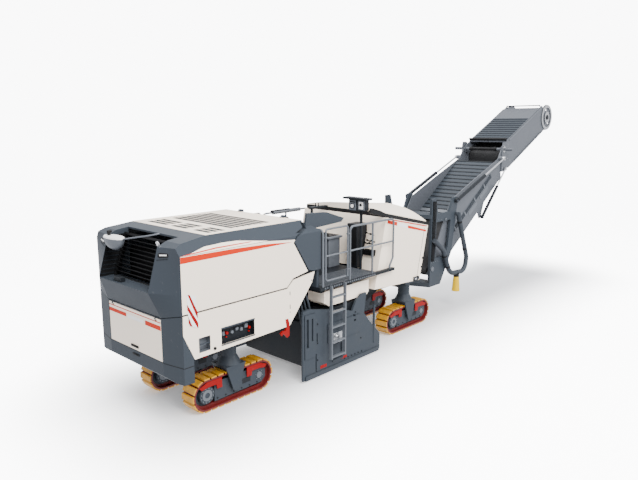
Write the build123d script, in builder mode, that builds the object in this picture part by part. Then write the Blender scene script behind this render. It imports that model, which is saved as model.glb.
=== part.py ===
from build123d import *

import os
from math import atan2, cos, degrees, hypot, pi, radians, sin

os.makedirs("parts", exist_ok=True)

# Cold planer milling machine with a 2 m drum, four steered tracks, a rear engine,
# a middle platform and a discharge conveyor that slews, lifts and folds.
# Millimetres. +X is ahead, towards the conveyor's tip, +Y is left and +Z is up.
# The origin is on the ground, under the middle of the whole machine.

# ---- driving dimensions ----
rear_x = -7590  # rear edge of the intake; every station along the machine counts from it
body_width = 2500  # over the side panels
sheet = 30  # a panel with its stiffeners
seam = 12  # gap between a panel that opens and its neighbour
wall_gap = 10  # gap between plates that slide or turn past each other

side_y = body_width / 2
sides = (("right", -1), ("left", 1))


def station(distance):
    """X of a place so far ahead of the rear edge."""
    return rear_x + distance


def side_plane(sign, inner, outer):
    """A side-view plane: extruding from it by outer - inner fills that span on one side."""
    return Plane.XZ.offset(-outer if sign > 0 else inner)


def span_plane(near, far):
    """A side-view plane at the larger y of a span, to be extruded towards the smaller one."""
    return Plane.XZ.offset(-max(near, far))


# ---- tracks and legs ----
track_length = 1780
track_height = 600
track_width = 320
track_y = 650
rear_axle_x = station(1580)
front_axle_x = station(6920)
pad_pitch = 147
pad_length = 126
pad_height = 44
pad_bite = 4  # how deep a pad sits in the shoe plates
pad_slope = 76
shoe_sheet = 14  # the plates that the pads are bolted on, as wide as the track
chain_depth = 40  # the link chain inside the plates
chain_width = 150
frame_gap = 5  # between the chain and the wheels that run in it
wheel_width = 120
roller_count = 5
roller_radius = 55
roller_span = 640
hub_radius = 150
hub_reach = track_width / 2 - 15
core_height = 220
pivot_radius = 52
flank_inner = 100  # plates down both flanks of the track's frame
flank_outer = 125
guard_inner = 150  # red edge plates outside them
guard_outer = 162
column_radius = 140
column_top = 1960
yoke_gap = 30
yoke_plate = 60
cheek = 30
cheek_gap = 15
foot_radius = 215
foot_height = 150

track_half = (track_length - track_height) / 2  # end wheels' distance from the leg's axis
track_mid_z = track_height / 2
yoke_z = track_height + yoke_gap  # underside of the yoke's plate
shoe_radius = track_mid_z - pad_height + pad_bite  # outside of the shoe plates
chain_outer = shoe_radius - shoe_sheet
chain_inner = chain_outer - chain_depth
wheel_radius = chain_inner - frame_gap
roller_z = track_mid_z - wheel_radius + roller_radius

legs = (
    # name, x, side sign
    ("rear_right", rear_axle_x, -1),
    ("rear_left", rear_axle_x, 1),
    ("front_right", front_axle_x, -1),
    ("front_left", front_axle_x, 1),
)

pad_path = track_mid_z - pad_height / 2
straight_steps = round(2 * track_half / pad_pitch)
arc_steps = round(pi * pad_path / pad_pitch)
pad_places = []  # x and z from the loop's middle, and the pad's turn
for n in range(straight_steps + 1):
    x = track_half * (2 * n / straight_steps - 1)
    pad_places += [(x, pad_path, 0), (x, -pad_path, 180)]
for n in range(1, arc_steps):
    turn = 180 * n / arc_steps
    reach, rise = pad_path * sin(radians(turn)), pad_path * cos(radians(turn))
    pad_places += [(track_half + reach, rise, -turn), (-track_half - reach, rise, turn)]

flank_outline = (
    # x and z from the track's middle: one flank plate, clear of the hub behind it
    (-420, -170),
    (track_half + 60, -150),
    (track_half + 150, -70),
    (track_half + 150, 70),
    (track_half + 90, 165),
    (-420, 170),
)
guard_outline = (
    # distance from the leg's axis, z from the track's middle: one edge plate
    (280, 238),
    (track_half, 238),
    (track_half + 165, 168),
    (track_half + 115, 120),
    (track_half - 20, 142),
    (400, 142),
    (385, 60),
    (280, 60),
)

for leg_name, leg_x, sign in legs:
    leg_y = sign * track_y
    leg_plane = Plane((leg_x, leg_y, track_mid_z), x_dir=(1, 0, 0), z_dir=(0, -1, 0))

    with BuildPart() as track_belt:
        # A link chain, full width shoe plates round it and a bevelled pad on each.
        with BuildSketch(leg_plane):
            SlotCenterToCenter(2 * track_half, 2 * chain_outer)
            SlotCenterToCenter(2 * track_half, 2 * chain_inner, mode=Mode.SUBTRACT)
        extrude(amount=chain_width / 2, both=True)
        with BuildSketch(leg_plane):
            SlotCenterToCenter(2 * track_half, 2 * shoe_radius)
            SlotCenterToCenter(2 * track_half, 2 * chain_outer, mode=Mode.SUBTRACT)
            for x, z, turn in pad_places:
                with Locations(Location((x, z), turn)):
                    Trapezoid(pad_length, pad_height, pad_slope)
        extrude(amount=track_width / 2, both=True)
    track_belt.part.label = f"track_belt_{leg_name}"
    export_step(track_belt.part, f"parts/track_belt_{leg_name}.step")

    with BuildPart() as track_frame:
        # End wheels and rollers in the chain, on one core between two flank plates.
        with BuildSketch(leg_plane):
            Rectangle(2 * track_half, core_height)
            with Locations((-track_half, 0), (track_half, 0)):
                Circle(wheel_radius)
            with GridLocations(roller_span / (roller_count - 1), 0, roller_count, 1):
                with Locations((0, roller_z - track_mid_z)):
                    Circle(roller_radius)
        extrude(amount=wheel_width / 2, both=True)
        with BuildSketch(leg_plane):
            with Locations((-track_half, 0)):
                Circle(hub_radius)
        extrude(amount=hub_reach, both=True)
        with BuildSketch(leg_plane):
            Rectangle(track_half, core_height / 2)
        extrude(amount=flank_outer, both=True)
        for flank in (-1, 1):
            with BuildSketch(leg_plane.offset(flank * flank_inner)):
                with BuildLine():
                    Polyline(*flank_outline, close=True)
                make_face()
            extrude(amount=flank * (flank_outer - flank_inner))
        with BuildSketch(leg_plane):
            Circle(pivot_radius + 1)
        extrude(amount=track_width, both=True, mode=Mode.SUBTRACT)
    track_frame.part.label = f"track_frame_{leg_name}"
    export_step(track_frame.part, f"parts/track_frame_{leg_name}.step")

    cheek_inner = track_width / 2 + cheek_gap
    cheek_outer = cheek_inner + cheek
    with BuildPart() as leg:
        # Two cheeks straddle the track and hold its pivot.
        with BuildSketch(leg_plane):
            with BuildLine():
                Polyline(
                    (-1.6 * pivot_radius, 0),
                    (-foot_radius, yoke_z + yoke_plate - track_mid_z),
                    (foot_radius, yoke_z + yoke_plate - track_mid_z),
                    (1.6 * pivot_radius, 0),
                    close=True,
                )
            make_face()
            Circle(1.6 * pivot_radius)
        extrude(amount=cheek_outer, both=True)
        with BuildSketch(leg_plane):
            with Locations((0, (yoke_z - track_height) / 2)):
                Rectangle(4 * foot_radius, yoke_z)
        extrude(amount=cheek_inner, both=True, mode=Mode.SUBTRACT)
        with BuildSketch(leg_plane):
            Circle(pivot_radius)
        extrude(amount=cheek_outer, both=True)
        # The column stands on a flared foot.
        with BuildSketch(Plane.XY.offset(yoke_z + yoke_plate)):
            with Locations((leg_x, leg_y)):
                Circle(foot_radius)
        with BuildSketch(Plane.XY.offset(yoke_z + yoke_plate + foot_height)):
            with Locations((leg_x, leg_y)):
                Circle(column_radius)
        loft()
        with BuildSketch(Plane.XY.offset(yoke_z + yoke_plate)):
            with Locations((leg_x, leg_y)):
                Circle(column_radius)
        extrude(amount=column_top - yoke_z - yoke_plate)
    leg.part.label = f"leg_{leg_name}"
    export_step(leg.part, f"parts/leg_{leg_name}.step")

    with BuildPart() as track_guard:
        # Edge plates over the corners of both flanks, each on a block of the flank's plate.
        for flank in (-1, 1):
            for end in (-1, 1):
                with BuildSketch(leg_plane.offset(flank * guard_inner)):
                    with BuildLine():
                        Polyline(*[(end * x, z) for x, z in guard_outline], close=True)
                    make_face()
                extrude(amount=flank * (guard_outer - guard_inner))
                with BuildSketch(leg_plane.offset(flank * flank_outer)):
                    with Locations((end * 350, 140)):
                        Rectangle(100, 50)
                extrude(amount=flank * (guard_inner - flank_outer))
    track_guard.part.label = f"track_guard_{leg_name}"
    export_step(track_guard.part, f"parts/track_guard_{leg_name}.step")

# ---- slew axis, conveyor pins and slopes ----
slew_x = station(7800)
root_x = station(8050)  # the lift pin, at the middle of the tail drum
root_z = 1250
fold_x = station(11800)
fold_z = 4130
lower_pitch = 34.2
upper_pitch = 24.5
trough_half = 600  # inner half width between the conveyor's walls
trough_wall = 25
slew_plate_inner = trough_half + trough_wall + 35
slew_plate_outer = slew_plate_inner + 60
lift_cylinder_y = slew_plate_outer + 50
lift_base_x = station(9050)
lift_base_z = 2900
lift_eye_x = station(11600)
lift_eye_z = 3880

fold_pin = 42
fold_bar_half = 920
fold_cylinder_y = 700
fold_base_x = station(10600)
fold_base_z = 2300
fold_eye_x = station(11869)
fold_eye_z = 3574

# ---- main frame ----
rail_inner = 410
rail_outer = 490
rail_low = 1050
rail_high = 1700
rail_arch = 1330
rail_rear_x = station(300)
rail_front_x = station(7200)
sleeve_half = track_y - rail_outer  # the sleeves stand against the rails
sleeve_bore = column_radius + 2
sleeve_low = 1100
sleeve_high = 2000
arch_rear_x = station(3240)
arch_front_x = station(4980)
crossbar_width = 80
crossbar_depth = 250
platform_top = 1800
platform_sheet = 60
platform_low = platform_top - platform_sheet
platform_half = side_y + 40
outriggers = (
    # distance ahead of the rear edge, reach to the side, underside, top
    (880, side_y - sheet, 1400, 1480),
    (2330, side_y - sheet, 1400, 1480),
    (3500, 1135, 1640, platform_low),
    (4350, 1135, 1640, platform_low),
    (5600, 1160, 1640, platform_low),
    (6450, 1160, 1640, platform_low),
)
portal_x = station(7080)
portal_depth = 120
portal_high = 2550
portal_beam = 220
nose_half = 200
nose_end = 120
nose_low = 900
nose_high = 1020
arm_low = 2400
arm_high = 2520
king_radius = 50

with BuildPart() as main_frame:
    for sign_name, sign in sides:
        with BuildSketch(side_plane(sign, rail_inner, rail_outer)):
            with BuildLine():
                Polyline(
                    (rail_rear_x, rail_low),
                    (arch_rear_x, rail_low),
                    (arch_rear_x + 100, rail_arch),
                    (arch_front_x - 100, rail_arch),
                    (arch_front_x, rail_low),
                    (rail_front_x, rail_low),
                    (rail_front_x, rail_high),
                    (rail_rear_x, rail_high),
                    close=True,
                )
            make_face()
        extrude(amount=rail_outer - rail_inner)
    # Front portal with its upper arm, and the lower nose: both hold the conveyor's slew pins.
    with BuildSketch(Plane.YZ.offset(portal_x)):
        with Locations((0, (rail_low + portal_high) / 2)):
            Rectangle(2 * (rail_outer + 30), portal_high - rail_low)
        with Locations((0, (portal_high - portal_beam) / 2)):
            Rectangle(2 * rail_inner, portal_high - portal_beam, mode=Mode.SUBTRACT)
    extrude(amount=portal_depth)
    with BuildSketch(Plane.XY.offset(arm_low)):
        with Locations(((portal_x + slew_x) / 2, 0)):
            Rectangle(slew_x - portal_x, 2 * nose_half)
        with Locations((slew_x, 0)):
            Circle(nose_end)
            Circle(king_radius + 1, mode=Mode.SUBTRACT)
    extrude(amount=arm_high - arm_low)
    with BuildSketch(Plane.XY.offset(nose_low)):
        with Locations(((portal_x + slew_x) / 2, 0)):
            Rectangle(slew_x - portal_x, 2 * nose_half)
        with Locations((slew_x, 0)):
            Circle(nose_end)
            Circle(king_radius + 1, mode=Mode.SUBTRACT)
    extrude(amount=nose_high - nose_low)
    with BuildSketch(Plane.XY.offset(nose_low)):
        with Locations((portal_x + portal_depth / 2, 0)):
            Rectangle(portal_depth, 2 * (rail_outer + 30))
    extrude(amount=rail_low - nose_low)
main_frame.part.label = "main_frame"
export_step(main_frame.part, "parts/main_frame.step")

with BuildPart() as frame_crossbars:
    # Cross members stand between the rails.
    with BuildSketch(Plane.XY.offset(rail_high - crossbar_depth)):
        for distance in (340, 2760, 3520, 5000):
            with Locations((station(distance), 0)):
                Rectangle(crossbar_width, 2 * rail_inner)
    extrude(amount=crossbar_depth)
    # Outriggers on the rails' outer faces carry the platform, the front housing and the panels.
    for distance, reach, low, high in outriggers:
        with BuildSketch(Plane.XY.offset(low)):
            with Locations((station(distance), 0)):
                Rectangle(crossbar_width, 2 * reach)
                Rectangle(crossbar_width, 2 * rail_outer, mode=Mode.SUBTRACT)
        extrude(amount=high - low)
frame_crossbars.part.label = "frame_crossbars"
export_step(frame_crossbars.part, "parts/frame_crossbars.step")

with BuildPart() as column_sleeves:
    # Square sleeves guide the four columns.
    with BuildSketch(Plane.XY.offset(sleeve_low)):
        for leg_name, leg_x, sign in legs:
            with Locations((leg_x, sign * track_y)):
                Rectangle(2 * sleeve_half, 2 * sleeve_half)
                Circle(sleeve_bore, mode=Mode.SUBTRACT)
    extrude(amount=sleeve_high - sleeve_low)
column_sleeves.part.label = "column_sleeves"
export_step(column_sleeves.part, "parts/column_sleeves.step")

# Lashing eyes: bored plates under the rails, two at the rear and two under the portal.
eye_bore = 30
eye_length = 110
eye_height = 110
lashing_places = (
    # middle of the bore, height of the face it hangs from
    (station(520), rail_low),
    (station(7145), nose_low),
)
with BuildPart() as lashing_eyes:
    for eye_x, eye_top in lashing_places:
        for side_name, sign in sides:
            with BuildSketch(side_plane(sign, rail_inner, rail_outer)):
                with Locations((eye_x, eye_top - eye_height / 2)):
                    Rectangle(eye_length, eye_height)
                    Circle(eye_bore, mode=Mode.SUBTRACT)
            extrude(amount=rail_outer - rail_inner)
    low_corners = lashing_eyes.edges().filter_by(Axis.Y).filter_by(GeomType.LINE)
    chamfer(low_corners.group_by(Axis.Z)[0] + low_corners.group_by(Axis.Z)[2], 25)
lashing_eyes.part.label = "lashing_eyes"
export_step(lashing_eyes.part, "parts/lashing_eyes.step")

# ---- engine and cooler ----
engine_x = station(950)
engine_length = 1650
engine_half = rail_inner
engine_low = 1250
engine_high = 2450
cooler_x = station(620)
cooler_depth = 180
cooler_half = 850
cooler_low = rail_high
cooler_high = 2700

with BuildPart() as engine_block:
    with BuildSketch(Plane.YZ.offset(engine_x)):
        with Locations((0, (engine_low + engine_high) / 2)):
            Rectangle(2 * engine_half, engine_high - engine_low)
    extrude(amount=engine_length)
engine_block.part.label = "engine_block"
export_step(engine_block.part, "parts/engine_block.step")

with BuildPart() as cooler:
    with BuildSketch(Plane.YZ.offset(cooler_x)):
        with Locations((0, (cooler_low + cooler_high) / 2)):
            Rectangle(2 * cooler_half, cooler_high - cooler_low)
    extrude(amount=cooler_depth)
cooler.part.label = "cooler"
export_step(cooler.part, "parts/cooler.step")

# ---- hood: the whole upper shell, hinged at its front top edge ----
hood_seam = 1950
hood_top = 3100
hood_front_x = station(3000)
shoulder_z = 2870
shoulder_y = 1080
corner_x = station(255)  # where the cut back rear corners meet the sides
face_x = station(170)  # the flat rear face under the hood
face_half = 810
face_top = 1850
pillar_y = 750
cheek = 30  # inner wall of a rear pillar
lip_high = 2280
intake_front_x = station(590)
hood_levels = (
    # z, X of the rear edge, half its width
    (face_top + seam, face_x, face_half),
    (lip_high, station(0), pillar_y),
    (2965, station(200), pillar_y),
    (hood_top + 50, station(240), pillar_y),
)
slot_width = 70
slot_pitch = 130
hinge_lift = 20  # the hood's hinge stands this much above its top
hinge_pin = 12
knuckle_radius = 28
knuckle_y = 560
knuckle_width = 90



def hood_block(inset):
    """The hood as a solid with flat-cut rear corners, or the space inside its sheet."""
    with BuildPart() as block:
        for z, rear_edge_x, half in hood_levels:
            with BuildSketch(Plane.XY.offset(z)):
                with BuildLine():
                    Polyline(
                        (rear_edge_x + inset, -half),
                        (corner_x + inset, -side_y + inset),
                        (station(3400), -side_y + inset),
                        (station(3400), side_y - inset),
                        (corner_x + inset, side_y - inset),
                        (rear_edge_x + inset, half),
                        close=True,
                    )
                make_face()
        loft(ruled=True)
        with BuildSketch(Plane.YZ.offset(station(-200))):
            with BuildLine():
                Polyline(
                    (-side_y + inset, face_top),
                    (-side_y + inset, shoulder_z - inset / 3),
                    (-shoulder_y + inset / 2, hood_top - inset),
                    (shoulder_y - inset / 2, hood_top - inset),
                    (side_y - inset, shoulder_z - inset / 3),
                    (side_y - inset, face_top),
                    close=True,
                )
            make_face()
        extrude(amount=3800, mode=Mode.INTERSECT)
        with BuildSketch(Plane.XZ):
            with BuildLine():
                Polyline(
                    (station(-200), face_top),
                    (station(-200), 2820 - inset),
                    (station(200), 2965 - inset),
                    (station(360), 3040 - inset),
                    (station(850), hood_top - inset),
                    (station(3400), hood_top - inset),
                    (station(3400), face_top),
                    close=True,
                )
            make_face()
        extrude(amount=side_y, both=True, mode=Mode.INTERSECT)
    return block.part


with BuildPart() as hood_shell:
    add(hood_block(0))
    # Its lower edge is level along the sides and steps up ahead.
    with BuildSketch(Plane.XZ):
        with BuildLine():
            Polyline(
                (station(-200), face_top),
                (station(-200), hood_top + 50),
                (hood_front_x, hood_top + 50),
                (hood_front_x, shoulder_z + 100),
                (station(2700), shoulder_z),
                (station(2620), 2760),
                (station(3000), 2170),
                (station(2600), 2100),
                (station(2450), hood_seam + seam),
                (station(300), hood_seam + seam),
                (station(300), face_top),
                close=True,
            )
        make_face()
    extrude(amount=side_y, both=True, mode=Mode.INTERSECT)
    add(hood_block(sheet), mode=Mode.SUBTRACT)
    # Its rear edge rises from the flap's width to the sides.
    with BuildSketch(Plane.YZ.offset(station(-200))):
        for side_name, sign in sides:
            with BuildLine():
                Polyline(
                    (sign * face_half, face_top),
                    (sign * face_half, face_top + seam),
                    (sign * side_y, hood_seam + seam),
                    (sign * side_y, face_top),
                    close=True,
                )
            make_face()
    extrude(amount=600, mode=Mode.SUBTRACT)
    # The lower front steps up, and is open below and ahead between the side walls.
    with BuildSketch(Plane.XZ):
        with BuildLine():
            Polyline(
                (station(2300), hood_seam - 100),
                (station(2300), 2300),
                (station(2560), 2760),
                (station(2640), shoulder_z + 20),
                (station(2940), shoulder_z + 120),
                (station(2940), hood_top - sheet),
                (station(3400), hood_top - sheet),
                (station(3400), hood_seam - 100),
                close=True,
            )
        make_face()
    extrude(amount=side_y - sheet, both=True, mode=Mode.SUBTRACT)
    # Rear intake between the pillars, over a shelf.
    with BuildSketch(Plane.XZ):
        with BuildLine():
            Polyline(
                (station(-200), lip_high),
                (intake_front_x, lip_high),
                (intake_front_x, hood_top + 100),
                (station(-200), hood_top + 100),
                close=True,
            )
        make_face()
    extrude(amount=pillar_y, both=True, mode=Mode.SUBTRACT)
    with BuildSketch(Plane.XZ):
        with Locations((station(190), lip_high - sheet / 2)):
            Rectangle(340, sheet)
    extrude(amount=pillar_y + cheek, both=True)
    for side_name, sign in sides:
        with BuildSketch(side_plane(sign, pillar_y, pillar_y + cheek)):
            with BuildLine():
                Polyline(
                    (station(20), lip_high),
                    (station(210), 2950),
                    (station(370), 3020),
                    (intake_front_x, 3048),
                    (intake_front_x, lip_high - sheet),
                    (station(30), lip_high - sheet),
                    close=True,
                )
            make_face()
        extrude(amount=cheek)
    # Hinge knuckles along the front top edge.
    for side_name, sign in sides:
        with BuildSketch(side_plane(sign, knuckle_y, knuckle_y + knuckle_width)):
            with Locations((hood_front_x - knuckle_radius, hood_top)):
                Rectangle(2 * knuckle_radius, 2 * hinge_lift)
            with Locations((hood_front_x, hood_top + hinge_lift)):
                Circle(knuckle_radius)
                Circle(hinge_pin + 1, mode=Mode.SUBTRACT)
        extrude(amount=knuckle_width)
    # Cross slots in the top.
    with BuildSketch(Plane.XY.offset(hood_top - 2 * sheet)):
        for n in range(6):
            with Locations((station(1720 + n * slot_pitch), 0)):
                Rectangle(slot_width, 1700)
        for n in range(3):
            for sign_name, sign in sides:
                with Locations((station(1060 + n * slot_pitch), sign * 720)):
                    Rectangle(slot_width, 420)
    extrude(amount=3 * sheet, mode=Mode.SUBTRACT)
hood_shell.part.label = "hood_shell"
export_step(hood_shell.part, "parts/hood_shell.step")

grille_foot_x = station(280)
grille_head_x = station(540)
grille_low = lip_high - 30
grille_high = 2980
grille_bar = 40
slat_count = 9
slat_depth = 70
slat_sheet = 12
grille_half = pillar_y - 15
with BuildPart() as intake_grille:
    lean = degrees(atan2(grille_head_x - grille_foot_x, grille_high - grille_low))
    height = hypot(grille_head_x - grille_foot_x, grille_high - grille_low)
    grille_plane = Plane(
        origin=(grille_foot_x, 0, grille_low),
        x_dir=(0, -1, 0),
        z_dir=(-cos(radians(lean)), 0, sin(radians(lean))),
    )
    with BuildSketch(grille_plane):
        with Locations((0, height / 2)):
            Rectangle(2 * grille_half, height)
            Rectangle(2 * grille_half - 2 * grille_bar, height - 2 * grille_bar, mode=Mode.SUBTRACT)
        pitch = (height - 2 * grille_bar) / (slat_count + 1)
        for n in range(slat_count):
            with Locations((0, grille_bar + (n + 1) * pitch)):
                Rectangle(2 * grille_half - grille_bar, slat_sheet)
    extrude(amount=slat_depth / 2, both=True)
    # Its foot is cut level to stand on the lip's shelf.
    with BuildSketch(Plane.XY.offset(lip_high)):
        with Locations((grille_foot_x, 0)):
            Rectangle(4 * slat_depth, 2 * side_y)
    extrude(amount=-2 * slat_depth, mode=Mode.SUBTRACT)
intake_grille.part.label = "intake_grille"
export_step(intake_grille.part, "parts/intake_grille.step")

# ---- lower panels, bumper and rear flap ----
panel_low_rear = 1220
panel_low_front = 1260
pocket_depth = 110
flap_low = 1140
flap_high = face_top - 25
flap_half = 790
flap_sheet = 40
flap_hinge_z = flap_high - 5
leaf_y = 640
leaf_half = 20
leaf_top = face_top - 5

for side_name, sign in sides:
    with BuildPart() as lower_panel:
        with BuildSketch(side_plane(sign, side_y - sheet, side_y)):
            with BuildLine():
                Polyline(
                    (station(270), hood_seam),
                    (station(260), 1650),
                    (station(460), panel_low_rear),
                    (station(2510), panel_low_front),
                    (station(3090), 1950),
                    (station(3160), 2140),
                    (station(2610), 2080),
                    (station(2460), hood_seam),
                    close=True,
                )
            make_face()
        extrude(amount=sheet)
        # Pockets for the rear step and the ground control panel stand behind the sheet.
        pocket_plane = side_plane(sign, side_y - sheet - pocket_depth, side_y)
        for near, far, low, high in (
            (520, 780, 1280, 1560),
            (960, 1700, 1300, 1600),
        ):
            with BuildSketch(pocket_plane):
                with Locations((station((near + far) / 2), (low + high) / 2)):
                    Rectangle(far - near, high - low)
            extrude(amount=sheet + pocket_depth)
            with BuildSketch(side_plane(sign, side_y - pocket_depth, side_y + sheet)):
                with Locations((station((near + far) / 2), (low + high) / 2)):
                    Rectangle(far - near - 40, high - low - 40)
            extrude(amount=sheet + pocket_depth, mode=Mode.SUBTRACT)
    lower_panel.part.label = f"lower_panel_{side_name}"
    export_step(lower_panel.part, f"parts/lower_panel_{side_name}.step")

bumper_low = 850
bumper_high = 1125
bumper_depth = 300
with BuildPart() as rear_bumper:
    with BuildSketch(Plane.XY.offset(bumper_low)):
        with BuildLine():
            Polyline(
                (face_x, -face_half),
                (corner_x, -side_y),
                (station(440), -side_y),
                (station(440), -side_y + 120),
                (station(bumper_depth), -side_y + 260),
                (station(bumper_depth), side_y - 260),
                (station(440), side_y - 120),
                (station(440), side_y),
                (corner_x, side_y),
                (face_x, face_half),
                close=True,
            )
        make_face()
    extrude(amount=bumper_high - bumper_low)
    bottom_rear = rear_bumper.edges().filter_by(Axis.Y).group_by(Axis.Z)[0].sort_by(Axis.X)[0]
    chamfer(bottom_rear, 60)
rear_bumper.part.label = "rear_bumper"
export_step(rear_bumper.part, "parts/rear_bumper.step")

with BuildPart() as rear_panel:
    # The rear wall between bumper and hood wraps round both corners and is cut for the flap.
    with BuildSketch(Plane.XY.offset(bumper_high)):
        with BuildLine():
            Polyline(
                (face_x, -face_half),
                (corner_x, -side_y),
                (corner_x, -side_y + 45),
                (face_x + sheet, -face_half + 10),
                (face_x + sheet, face_half - 10),
                (corner_x, side_y - 45),
                (corner_x, side_y),
                (face_x, face_half),
                close=True,
            )
        make_face()
    extrude(amount=hood_seam - bumper_high)
    # It wraps round the corners under the lower panels' rear edges.
    for side_name, sign in sides:
        with BuildSketch(side_plane(sign, side_y - sheet, side_y)):
            with BuildLine():
                Polyline(
                    (corner_x, bumper_high),
                    (corner_x, 1640),
                    (station(440), 1235),
                    (station(440), bumper_high),
                    close=True,
                )
            make_face()
        extrude(amount=sheet)
    # Its top edge drops from the sides to the flap's width.
    with BuildSketch(Plane.YZ.offset(face_x - 50)):
        with BuildLine():
            Polyline(
                (-side_y, hood_seam),
                (-face_half, face_top),
                (face_half, face_top),
                (side_y, hood_seam),
                close=True,
            )
        make_face()
    extrude(amount=300, mode=Mode.SUBTRACT)
    with BuildSketch(Plane.YZ.offset(face_x - 50)):
        with Locations((0, (flap_low + flap_high) / 2)):
            Rectangle(2 * (flap_half + seam), flap_high - flap_low + 2 * seam)
    extrude(amount=200, mode=Mode.SUBTRACT)
    # Leaves that hold the flap's pins.
    for side_name, sign in sides:
        with BuildSketch(side_plane(sign, leaf_y, leaf_y + sheet)):
            with Locations((face_x + sheet / 2, (flap_hinge_z + leaf_top) / 2)):
                Rectangle(sheet, leaf_top - flap_hinge_z)
            with Locations((face_x, flap_hinge_z)):
                Circle(leaf_half)
                Circle(hinge_pin + 1, mode=Mode.SUBTRACT)
        extrude(amount=sheet)
rear_panel.part.label = "rear_panel"
export_step(rear_panel.part, "parts/rear_panel.step")

with BuildPart() as rear_flap:
    with BuildSketch(Plane.YZ.offset(face_x)):
        with Locations((0, (flap_low + flap_high) / 2)):
            Rectangle(2 * flap_half, flap_high - flap_low)
    extrude(amount=flap_sheet)
    # Its top is relieved round the panel's leaves, and a pin crosses each gap.
    for side_name, sign in sides:
        with BuildSketch(side_plane(sign, leaf_y - 10, leaf_y + sheet + 10)):
            with Locations((face_x, flap_hinge_z)):
                Circle(leaf_half + 30)
        extrude(amount=sheet + 20, mode=Mode.SUBTRACT)
        with BuildSketch(side_plane(sign, leaf_y - 40, leaf_y + sheet + 40)):
            with Locations((face_x, flap_hinge_z)):
                Circle(hinge_pin)
        extrude(amount=sheet + 80)
rear_flap.part.label = "rear_flap"
export_step(rear_flap.part, "parts/rear_flap.step")

# ---- bulkhead and centre cover ----
bulkhead_front_x = station(3340)
ear_radius = 15
screen_inner = 1100
screen_outer = 1150
centre_cover_half = 550
with BuildPart() as bulkhead:
    with BuildSketch(Plane.XZ):
        with BuildLine():
            Polyline(
                (station(2640 + 380), 2190),
                (station(3160), 2160),
                (bulkhead_front_x, 2160),
                (bulkhead_front_x, 2900),
                (station(3020), 3060),
                (station(3020), shoulder_z + 80),
                (station(2730), shoulder_z - 20),
                (station(2650), 2765),
                close=True,
            )
        make_face()
    extrude(amount=side_y - 5, both=True)
    with BuildSketch(Plane.YZ.offset(station(2500))):
        with BuildLine():
            Polyline(
                (-side_y, 1700),
                (-side_y, shoulder_z),
                (-shoulder_y, hood_top - 30),
                (shoulder_y, hood_top - 30),
                (side_y, shoulder_z),
                (side_y, 1700),
                close=True,
            )
        make_face()
    extrude(amount=1200, mode=Mode.INTERSECT)
    with BuildSketch(Plane.YZ.offset(bulkhead_front_x - 60)):
        with Locations((0, (platform_top + 2200) / 2)):
            Rectangle(2 * (side_y - 60), 2200 - platform_top)
    extrude(amount=60)
    # Ears and pins that the hood's knuckles turn on.
    for side_name, sign in sides:
        ear_y = knuckle_y + knuckle_width + 5
        with BuildSketch(side_plane(sign, ear_y, ear_y + sheet)):
            with BuildLine():
                Polyline(
                    (hood_front_x + 8, 2960),
                    (hood_front_x + 8, hood_top + hinge_lift),
                    (hood_front_x + 40, hood_top + hinge_lift),
                    (station(3240), 2920),
                    close=True,
                )
            make_face()
            with Locations((hood_front_x, hood_top + hinge_lift)):
                Circle(ear_radius)
        extrude(amount=sheet)
        with BuildSketch(side_plane(sign, knuckle_y, ear_y)):
            with Locations((hood_front_x, hood_top + hinge_lift)):
                Circle(hinge_pin)
        extrude(amount=ear_y - knuckle_y)
    # A screen on the right hand shoulder shields the platform.
    with BuildSketch(span_plane(-screen_outer, -screen_inner)):
        with BuildLine():
            Polyline(
                (station(3020), 2950),
                (station(3070), 3220),
                (station(3600), 3190),
                (station(4100), 3030),
                (station(4030), 2960),
                (bulkhead_front_x, 2930),
                (station(3180), 2930),
                close=True,
            )
        make_face()
    extrude(amount=screen_outer - screen_inner)
bulkhead.part.label = "bulkhead"
export_step(bulkhead.part, "parts/bulkhead.step")

with BuildPart() as centre_cover:
    with BuildSketch(Plane.XZ):
        with BuildLine():
            Polyline(
                (bulkhead_front_x, platform_top),
                (bulkhead_front_x, 2890),
                (station(4150), 2640),
                (station(4200), 2560),
                (station(4200), platform_top),
                close=True,
            )
        make_face()
    extrude(amount=centre_cover_half, both=True)
centre_cover.part.label = "centre_cover"
export_step(centre_cover.part, "parts/centre_cover.step")

# ---- platform, rails, gates and ladders ----
floor_rear_x = bulkhead_front_x - 60
floor_front_x = station(5040)
gangway_x = station(5630)
gangway_inner = platform_half - 75
rail_y = platform_half - 25
rail_tube = 21
rail_flats = 8
gate_tube = 18
rail_mid = 2380
gate_hinge_x = station(4090)

with BuildPart() as platform_floor:
    with BuildSketch(Plane.XY.offset(platform_low)):
        with Locations(((floor_rear_x + floor_front_x) / 2, 0)):
            Rectangle(floor_front_x - floor_rear_x, 2 * platform_half)
        for side_name, sign in sides:
            with Locations(
                ((floor_front_x + gangway_x) / 2, sign * (gangway_inner + platform_half) / 2)
            ):
                Rectangle(gangway_x - floor_front_x, platform_half - gangway_inner)
    extrude(amount=platform_sheet)
platform_floor.part.label = "platform_floor"
export_step(platform_floor.part, "parts/platform_floor.step")


def bent_tube(points, radius, bend, flats=0):
    """A bar, round or with flats, along straight runs joined by bends of one radius."""
    with BuildPart() as tube:
        with BuildLine() as path:
            FilletPolyline(*points, radius=bend)
        with BuildSketch(Plane(origin=path.line @ 0, z_dir=path.line % 0)):
            if flats:
                RegularPolygon(radius, flats)
            else:
                Circle(radius)
        sweep(path=path.line)
    return tube.part


rail_top = 2860
rail_rear = station(4160)
rail_front = station(5590)
hoop_x = station(3375)
hoop_top = 2885
hoop_inner = 960
pad_radius = 45  # foam round the left rail's top bar

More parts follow.
